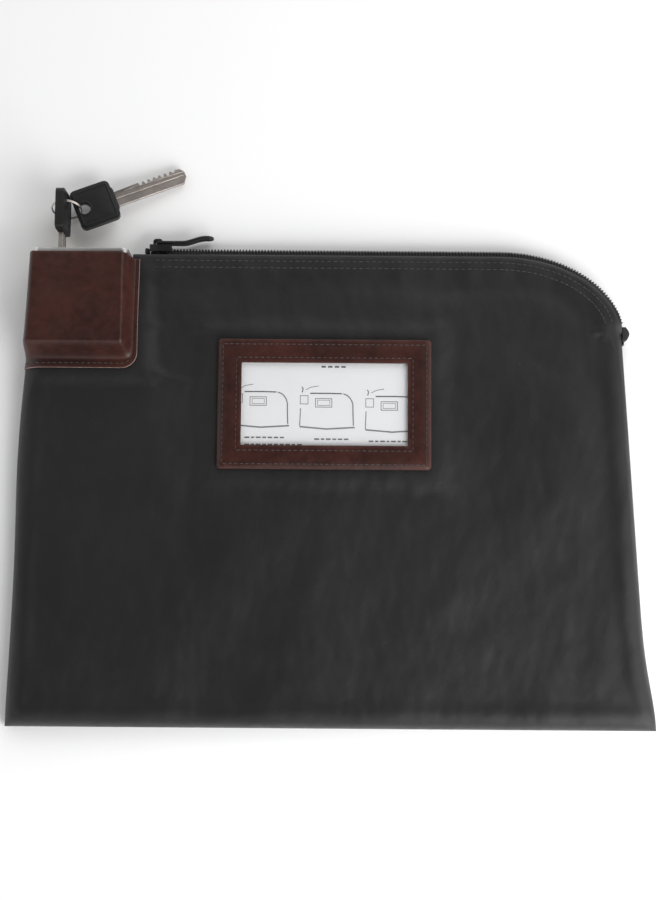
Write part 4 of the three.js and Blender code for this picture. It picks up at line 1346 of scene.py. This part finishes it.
@dataclass
class Keys:
    """The key in the lock, the spare on its ring, and the ring."""

    blade_length: float = 34.1
    blade_spine: float = 4.1
    blade_width: float = 7.4
    half_blade: float = 1.0
    bow: float = 18.9
    collar: float = 0.8
    bow_radius: float = 2.4
    hole: float = 2.8
    hole_offset: float = 5.2
    pin_pitch: float = 2.7
    first_pin: float = 12.9
    ring_radius: float = 6.8
    ring_tilt: float = 20.0
    spare_turn: float = 22.5
    spare_dip: float = 6.2

    def build(self) -> None:
        """Makes both keys and the ring."""
        bow_low, bow_high = node_box("key_bow")
        middle = (bow_low + bow_high) / 2
        upright = Matrix.Rotation(math.pi / 2, 4, "Y") @ Matrix.Rotation(math.pi / 2, 4, "Z")
        home = Matrix.Translation((middle.x, bow_low.y, middle.z)) @ upright
        self.key(home, "key", "lock_key")
        ring_low, ring_high = node_box("key_ring")
        ring = (ring_low + ring_high) / 2
        hung = self.collar + self.bow / 2 + self.hole_offset
        lying = (
            Matrix.Translation((ring.x + self.ring_radius + 1.4, ring.y, ring.z))
            @ Matrix.Rotation(math.radians(self.spare_turn), 4, "Z")
            @ Matrix.Rotation(math.radians(self.spare_dip), 4, "Y")
            @ Matrix.Rotation(math.pi / 2, 4, "Z")
            @ Matrix.Rotation(math.pi / 2, 4, "Y")
            @ Matrix.Translation((0, -hung, 0))
            @ Matrix.Rotation(math.pi, 4, "Y")
            @ upright
        )
        self.key(lying, "spare_key", "spare_key")
        self.ring(ring)

    def profile(self) -> list[Point2]:
        """The blade's outline, cuts along its lower side."""
        cut = self.blade_spine - self.blade_width
        tip = -self.blade_length
        points = [
            (self.bow * 0.4, cut + 1), (self.bow * 0.4, self.blade_spine - 1), (0.0, self.blade_spine),
            (tip + 2, self.blade_spine), (tip + 0.3, self.blade_spine - 2.2), (tip, self.blade_spine - 3.0),
            (tip, cut + 2.2), (tip + 1.8, cut + 0.2),
        ]
        for k in range(6, -1, -1):
            middle = -(self.first_pin + k * self.pin_pitch)
            deep = 0.7 + 0.9 * abs(math.sin(2.3 * (k + 1)))
            points += [
                (middle - self.pin_pitch * 0.36, cut), (middle - 0.4, cut + deep),
                (middle + 0.4, cut + deep), (middle + self.pin_pitch * 0.36, cut),
            ]
        return points

    def key(self, home: Matrix, name: str, body: str) -> None:
        """One key: a grooved blade with cuts, and a moulded bow with a raised rim."""
        profile = self.profile()
        cut = self.blade_spine - self.blade_width
        form = Form()
        form.plate([profile], -0.5, 0.5, 0.0, 1, home)
        upper = [(p[0], max(p[1], 1.6)) for p in profile if p[1] > 1.0]
        upper = [(self.bow * 0.4, 1.6), *upper, (-self.blade_length + 0.1, 1.6)]
        lower = [(self.bow * 0.4, 0.4)] + [(-self.blade_length + 0.4, 0.4)] + [p for p in profile if p[1] < cut + 2.3]
        for face in (-1, 1):
            near, far = sorted((face * 0.45, face * self.half_blade))
            form.plate([upper], near, far, 0.12, 1, home)
            form.plate([lower], near, far, 0.12, 1, home)
        form.piece(f"{name}_blade_cut", body, Finishes.NICKEL, "nickel", [f"{name}_blade"])
        self.head(home, name, body)

    def head(self, home: Matrix, name: str, body: str) -> None:
        """The bow: rounded square with a ring hole, a collar and a rim on both faces."""
        half = self.bow / 2
        middle = self.collar + half
        hole = circle((middle + self.hole_offset, 0), self.hole, 24)
        form = Form()
        outline = rounded(self.collar, self.collar + self.bow, -half, half, self.bow_radius)
        form.plate([outline, hole], -1.8, 1.8, 0.55, 3, home)
        collar = [(0, -4.6), (self.collar + 1, -7.5), (self.collar + 1, 7.5), (0, 4.6)]
        form.plate([collar], -1.4, 1.4, 0.4, 2, home)
        inset = 1.0
        rim = rounded(
            self.collar + inset, self.collar + self.bow - inset, -half + inset, half - inset, self.bow_radius - inset
        )
        within = rounded(
            self.collar + inset + 0.9, self.collar + self.bow - inset - 0.9,
            -half + inset + 0.9, half - inset - 0.9, self.bow_radius - inset - 0.9,
        )
        lug = circle((middle + self.hole_offset, 0), self.hole + 0.9, 24)
        for face in (-1, 1):
            near, far = sorted((face * 1.6, face * 2.05))
            form.plate([rim, within], near, far, 0.18, 2, home)
            form.plate([lug, hole], near, far, 0.15, 2, home)
        form.piece(f"{name}_bow_moulding", body, Finishes.BLACK_PLASTIC, "black_plastic", [f"{name}_bow"])

    def ring(self, centre: Vector) -> None:
        """A split ring of two turns of wire lying side by side."""
        stand = Matrix.Translation(centre) @ Matrix.Rotation(math.pi / 2 - math.radians(self.ring_tilt), 4, "X")
        form = Form()
        for side in (-0.27, 0.27):
            form.hoop(self.ring_radius, 0.29, stand @ Matrix.Translation((0, 0, side)))
        form.piece("split_ring", "ring", Finishes.NICKEL, "nickel", ["key_ring"])


# ---- label pocket -----------------------------------------------------------------------------------------
@dataclass
class Label:
    """Leatherette frame with a vinyl window and a printed card."""

    border: float = 10.7
    corner: float = 1.6
    drop: float = 1.3  # how far the frame's outer edge lies below its inner part
    print_height: float = 0.03

    def build(self) -> None:
        """Makes the frame, its stitches, the window, the card and its print."""
        self.low, self.high = node_box("label_frame")
        self.frame()
        self.stitches()
        self.window()
        self.card()

    def sight(self, grow: float) -> tuple[float, float, float, float]:
        """The window's opening, grown on each side."""
        b = self.border - grow
        return self.low.x + b, self.high.x - b, self.low.y + b, self.high.y - b

    def face(self, x: float, y: float) -> float:
        """Height of the frame's face: down at its sewn sides, level at the top where the card goes in."""
        out = min(x - self.low.x, self.high.x - x, y - self.low.y, self.high.y - y)
        sewn = min(x - self.low.x, self.high.x - x, y - self.low.y)
        pillow = 0.25 * math.sin(math.pi * clamp((out - 2.4) / (self.border - 4.8)))
        return self.high.z - 0.25 - self.drop * (1 - roll(sewn, 3.4)) * 0.9 + pillow - 0.1

    def frame(self) -> None:
        """The leatherette frame, its face pillowed and its edges cut raw."""
        form = Form()
        top = self.high.z
        outer = rounded(self.low.x, self.high.x, self.low.y, self.high.y, self.corner)
        form.plate([outer, rounded(*self.sight(0.0), 0.5)], top - 1.1, top, 0.25)
        form.slice(0, self.low.x, self.high.x, 2.4)
        form.slice(1, self.low.y, self.high.y, 2.4)
        form.bend(lambda p: Vector((p.x, p.y, self.face(p.x, p.y) - (top - p.z))))
        made = form.piece("label_frame_leather", "bag", Finishes.LEATHER, "leatherette", ["label_frame"], 50)
        store(made, "edge", self.from_edge)
        size = ((self.high.x - self.low.x) * MM, (self.high.y - self.low.y) * MM)
        x0, x1, y0, y1 = self.sight(0.0)
        area = size[0] * size[1] - (x1 - x0) * (y1 - y0) * MM * MM

    def from_edge(self, x: float, y: float) -> float:
        """Distance to the frame's nearest cut edge."""
        x0, x1, y0, y1 = self.sight(0.0)
        out = min(x - self.low.x, self.high.x - x, y - self.low.y, self.high.y - y)
        inner = max(x0 - x, x - x1, y0 - y, y - y1)
        return min(out, abs(inner))

    def stitches(self) -> None:
        """A row near the outer edge and a row round the window."""
        form = Form()
        for inset in (2.3, self.border - 2.3):
            x0, x1 = self.low.x + inset, self.high.x - inset
            y0, y1 = self.low.y + inset, self.high.y - inset
            corners = [(x0, y0), (x1, y0), (x1, y1), (x0, y1)]
            for k, start in enumerate(corners):
                path, length = straight(start, corners[(k + 1) % 4])
                stitch_row(form, path, length, self.face, 2.5)
        form.piece("label_frame_stitches", "bag", Finishes.THREAD_DARK, "leatherette")

    def window(self) -> None:
        """The vinyl film, slack enough to ripple."""
        low, high = node_box("label_window")

        def place(u: float, v: float) -> Sequence[float]:
            """Where a point of the film goes."""
            x, y = lerp(low.x, high.x, u), lerp(low.y, high.y, v)
            return x, y, high.z + 0.12 * noise.noise(Vector((x / 17, y / 12, 5.0)))

        form = Form()
        form.sheet(60, 36, place)
        made = form.piece("label_window_film", "bag", Finishes.VINYL, "clear_vinyl", ["label_window"], 60)
        thicken(made, 0.25)

    def card(self) -> None:
        """The card and the generic drawing printed on it."""
        low, high = node_box("label_card")
        form = Form()
        form.plate([rounded(low.x, high.x, low.y, high.y, 0.8)], low.z, high.z - 0.05, 0.04, 1)
        form.piece("label_card_stock", "card", Finishes.CARD, "paper", ["label_card"])
        top = high.z - 0.05
        Drawing(low, high, top, self.print_height).build()


@dataclass
class Drawing:
    """Three plain outlines of a pouch with rows of strokes under them, in place of a printed guide."""

    low: Vector
    high: Vector
    top: float
    depth: float
    pitch: float = 29.6
    width: float = 24.0
    height: float = 15.2
    weight: float = 1.4  # of the printed lines

    def build(self) -> None:
        """Prints the grey lines and the dark ones."""
        middle = (self.low.x + self.high.x) / 2
        base = (self.low.y + self.high.y) / 2 - 10.2
        grey, dark = Form(), Form()
        for k, drop in ((-1, 0.6), (0, 0.0), (1, -1.2)):
            self.pouch(grey, dark, middle + 0.9 + k * self.pitch - self.width / 2, base + drop)
        self.strokes(dark, middle, base)
        grey.piece("label_print_grey", "card", Finishes.INK, "paper")
        dark.piece("label_print_dark", "card", Finishes.INK_DARK, "paper")

    def line(self, form: Form, points: Sequence[Point2], width: float) -> None:
        """One printed line, kept on the card."""
        edge = 0.6
        kept = [
            (clamp(x, self.low.x + edge, self.high.x - edge), clamp(y, self.low.y + edge, self.high.y - edge))
            for x, y in points
        ]
        tidy = [kept[0]] + [b for a, b in zip(kept, kept[1:]) if (Vector(b) - Vector(a)).length > 0.05]
        if len(tidy) > 1:
            form.plate([ribbon(tidy, width * self.weight)], self.top - 0.01, self.top + self.depth)

    def pouch(self, grey: Form, dark: Form, x: float, y: float) -> None:
        """One outline of a pouch with its lock, label and an arrow."""
        w, h = self.width, self.height
        corner = [(x + w - 5.5 + 5.5 * math.sin(a), y + h - 6 + 6 * math.cos(a)) for a in (0.2, 0.5, 0.8, 1.1, 1.4)]
        self.line(grey, [*corner, (x + w, y + h * 0.4), (x + w + 0.2, y + 0.6)], 0.4)
        self.line(grey, [(x + w + 0.8, y - 0.2), (x + w * 0.5, y - 1.0), (x, y)], 0.5)
        self.line(grey, [(x, y + 0.2), (x + 0.3, y + h * 0.55)], 0.3)
        self.line(dark, [(x + 4.6, y + h), (x + w * 0.55, y + h + 0.05), (x + w - 5, y + h - 0.1)], 0.42)
        self.square(grey, x, x + 3.8, y + h - 5.0, y + h - 0.9, 0.3)
        self.square(grey, x + 6.9, x + 14.6, y + h - 6.4, y + h - 2.2, 0.32)
        self.square(grey, x + 7.9, x + 13.6, y + h - 5.6, y + h - 3.0, 0.22)
        self.line(dark, [(x + 1.0, y + h + 0.4), (x + 1.4, y + h + 2.0), (x + 0.8, y + h + 3.0)], 0.35)
        self.line(grey, [(x + 2.6, y + h + 1.6), (x + 5.0, y + h + 2.8), (x + 8.4, y + h + 3.4)], 0.22)

    def square(self, form: Form, x0: float, x1: float, y0: float, y1: float, width: float) -> None:
        """An empty box."""
        outer = [(x0, y0), (x1, y0), (x1, y1), (x0, y1)]
        inner = [(x0 + width, y0 + width), (x1 - width, y0 + width), (x1 - width, y1 - width), (x0 + width, y1 - width)]
        if x0 > self.low.x and x1 < self.high.x:
            form.plate([outer, inner], self.top - 0.01, self.top + self.depth)

    def strokes(self, form: Form, middle: float, base: float) -> None:
        """Rows of short strokes where a guide would have its words."""
        rows = ((-36.0, -19.0, base - 5.0), (-4.5, 9.5, base - 5.6), (20.0, 36.0, base - 6.4), (-36.0, -12.0, base - 8.2))
        for start, end, y in rows:
            x = middle + start
            k = 0
            while x < middle + end:
                long = 1.2 + 1.1 * abs(math.sin(1.7 * k + start))
                self.line(form, [(x, y), (x + long, y)], 0.5)
                x += long + 0.7
                k += 1
        for k in range(4):
            x = middle - 1.5 + 3.0 * k
            self.line(form, [(x, base + 27.4), (x + 2.0, base + 27.4)], 0.6)


# ---- studio -----------------------------------------------------------------------------------------------
@dataclass
class Studio:
    """Camera, floor and soft lights."""

    target: Vector = field(default_factory=lambda: Vector((0.00066, 0.01622, 0.006)))
    distance: float = 0.605
    elevation: float = 83.76
    tilt: float = 0.45
    lens: float = 53.3

    def camera(self) -> None:
        """Looks down on the bag from a little below its bottom edge."""
        e, r = math.radians(self.elevation), math.radians(self.tilt)
        back = Vector((0, -math.cos(e), math.sin(e)))
        right, up = Vector((1, 0, 0)), Vector((0, math.sin(e), math.cos(e)))
        turned = right * math.cos(r) + up * math.sin(r)
        above = up * math.cos(r) - right * math.sin(r)
        data = bpy.data.cameras.new("Camera")
        data.lens = self.lens
        data.sensor_width = 36.0
        data.clip_start = 0.01
        made = bpy.data.objects.new("Camera", data)
        made.matrix_world = Matrix((
            (turned.x, above.x, back.x, 0), (turned.y, above.y, back.y, 0), (turned.z, above.z, back.z, 0), (0, 0, 0, 1),
        ))
        made.location = self.target + back * self.distance
        bpy.context.scene.collection.objects.link(made)
        bpy.context.scene.camera = made

    def floor(self) -> None:
        """A wide white surface just under the bag."""
        bm = bmesh.new()
        bmesh.ops.create_grid(bm, x_segments=2, y_segments=2, size=4.0)
        bmesh.ops.translate(bm, verts=bm.verts, vec=(0, 0, -0.0003))
        mesh = bpy.data.meshes.new("floor")
        bm.to_mesh(mesh)
        bm.free()
        g = Graph("White_table")
        cloud = g.noise(2.0, 2.0)
        base = g.mix(cloud, (0.93, 0.93, 0.93, 1), (0.95, 0.95, 0.95, 1))
        mesh.materials.append(g.close({"Base Color": base, "Roughness": 0.9, "Specular IOR Level": 0.1}))
        made = bpy.data.objects.new("floor", mesh)
        bpy.context.scene.collection.objects.link(made)

    def light(self, name: str, place: Sequence[float], size: float, power: float, colour: Colour = (1, 1, 1)) -> None:
        """A square soft light that faces the bag."""
        data = bpy.data.lights.new(name, "AREA")
        data.size = size
        data.energy = power
        data.color = colour
        made = bpy.data.objects.new(name, data)
        made.location = place
        made.rotation_mode = "QUATERNION"
        made.rotation_quaternion = (Vector(place) - Vector((0.02, 0.0, 0.0))).to_track_quat("Z", "Y")
        bpy.context.scene.collection.objects.link(made)

    def lights(self) -> None:
        """Bright walls under a darker ceiling, with one close light at the lower right."""
        world = bpy.data.worlds.new("Studio")
        bpy.context.scene.world = world
        world.use_nodes = True
        tree = world.node_tree
        tree.nodes.clear()
        where = tree.nodes.new("ShaderNodeTexCoord")
        split = tree.nodes.new("ShaderNodeSeparateXYZ")
        shade = tree.nodes.new("ShaderNodeMapRange")
        shade.interpolation_type = "SMOOTHSTEP"
        for key, value in enumerate((None, 0.4, 0.9, 1.42, 0.05)):
            if value is not None:
                shade.inputs[key].default_value = value
        back = tree.nodes.new("ShaderNodeBackground")
        out = tree.nodes.new("ShaderNodeOutputWorld")
        tree.links.new(where.outputs["Generated"], split.inputs[0])
        tree.links.new(split.outputs[2], shade.inputs[0])
        tree.links.new(shade.outputs[0], back.inputs["Strength"])
        tree.links.new(back.outputs[0], out.inputs[0])
        self.light("Key", (0.46, -0.4, 0.34), 0.6, 6.4)
        self.light("Fill", (-0.55, 0.4, 0.7), 0.6, 0.6)
        self.light("Top", (0.25, 0.65, 0.5), 0.5, 1.6)

    def build(self) -> None:
        """Sets the whole studio, the camera first."""
        self.camera()
        self.floor()
        self.lights()
        bpy.context.scene.view_settings.view_transform = "Standard"


# ---- assembly ---------------------------------------------------------------------------------------------
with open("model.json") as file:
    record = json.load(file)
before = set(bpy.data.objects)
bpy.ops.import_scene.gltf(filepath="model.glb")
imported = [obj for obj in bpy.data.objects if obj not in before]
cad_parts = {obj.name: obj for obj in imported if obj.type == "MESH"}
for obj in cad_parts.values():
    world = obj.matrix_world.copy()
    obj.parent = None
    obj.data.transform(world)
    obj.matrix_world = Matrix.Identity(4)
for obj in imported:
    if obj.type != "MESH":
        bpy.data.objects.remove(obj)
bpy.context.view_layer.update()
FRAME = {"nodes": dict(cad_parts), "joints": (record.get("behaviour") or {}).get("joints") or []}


def corners(bounds: Iterable[Vector]) -> list[list[float]]:
    """Two corners as plain lists."""
    return [list(corner) for corner in bounds]


def main() -> None:
    """Builds the studio and every part of the bag."""
    logging.basicConfig(level=logging.INFO, format="%(name)s %(message)s")
    Studio().build()
    plan = Plan()
    pouch = Pouch(plan)
    pouch.build()
    Zip(plan, Ground(pouch.front)).build()
    LockCover(plan).build()
    Lock().build()
    Keys().build()
    Label().build()
    bpy.context.view_layer.update()


if __name__ == "__main__":
    main()
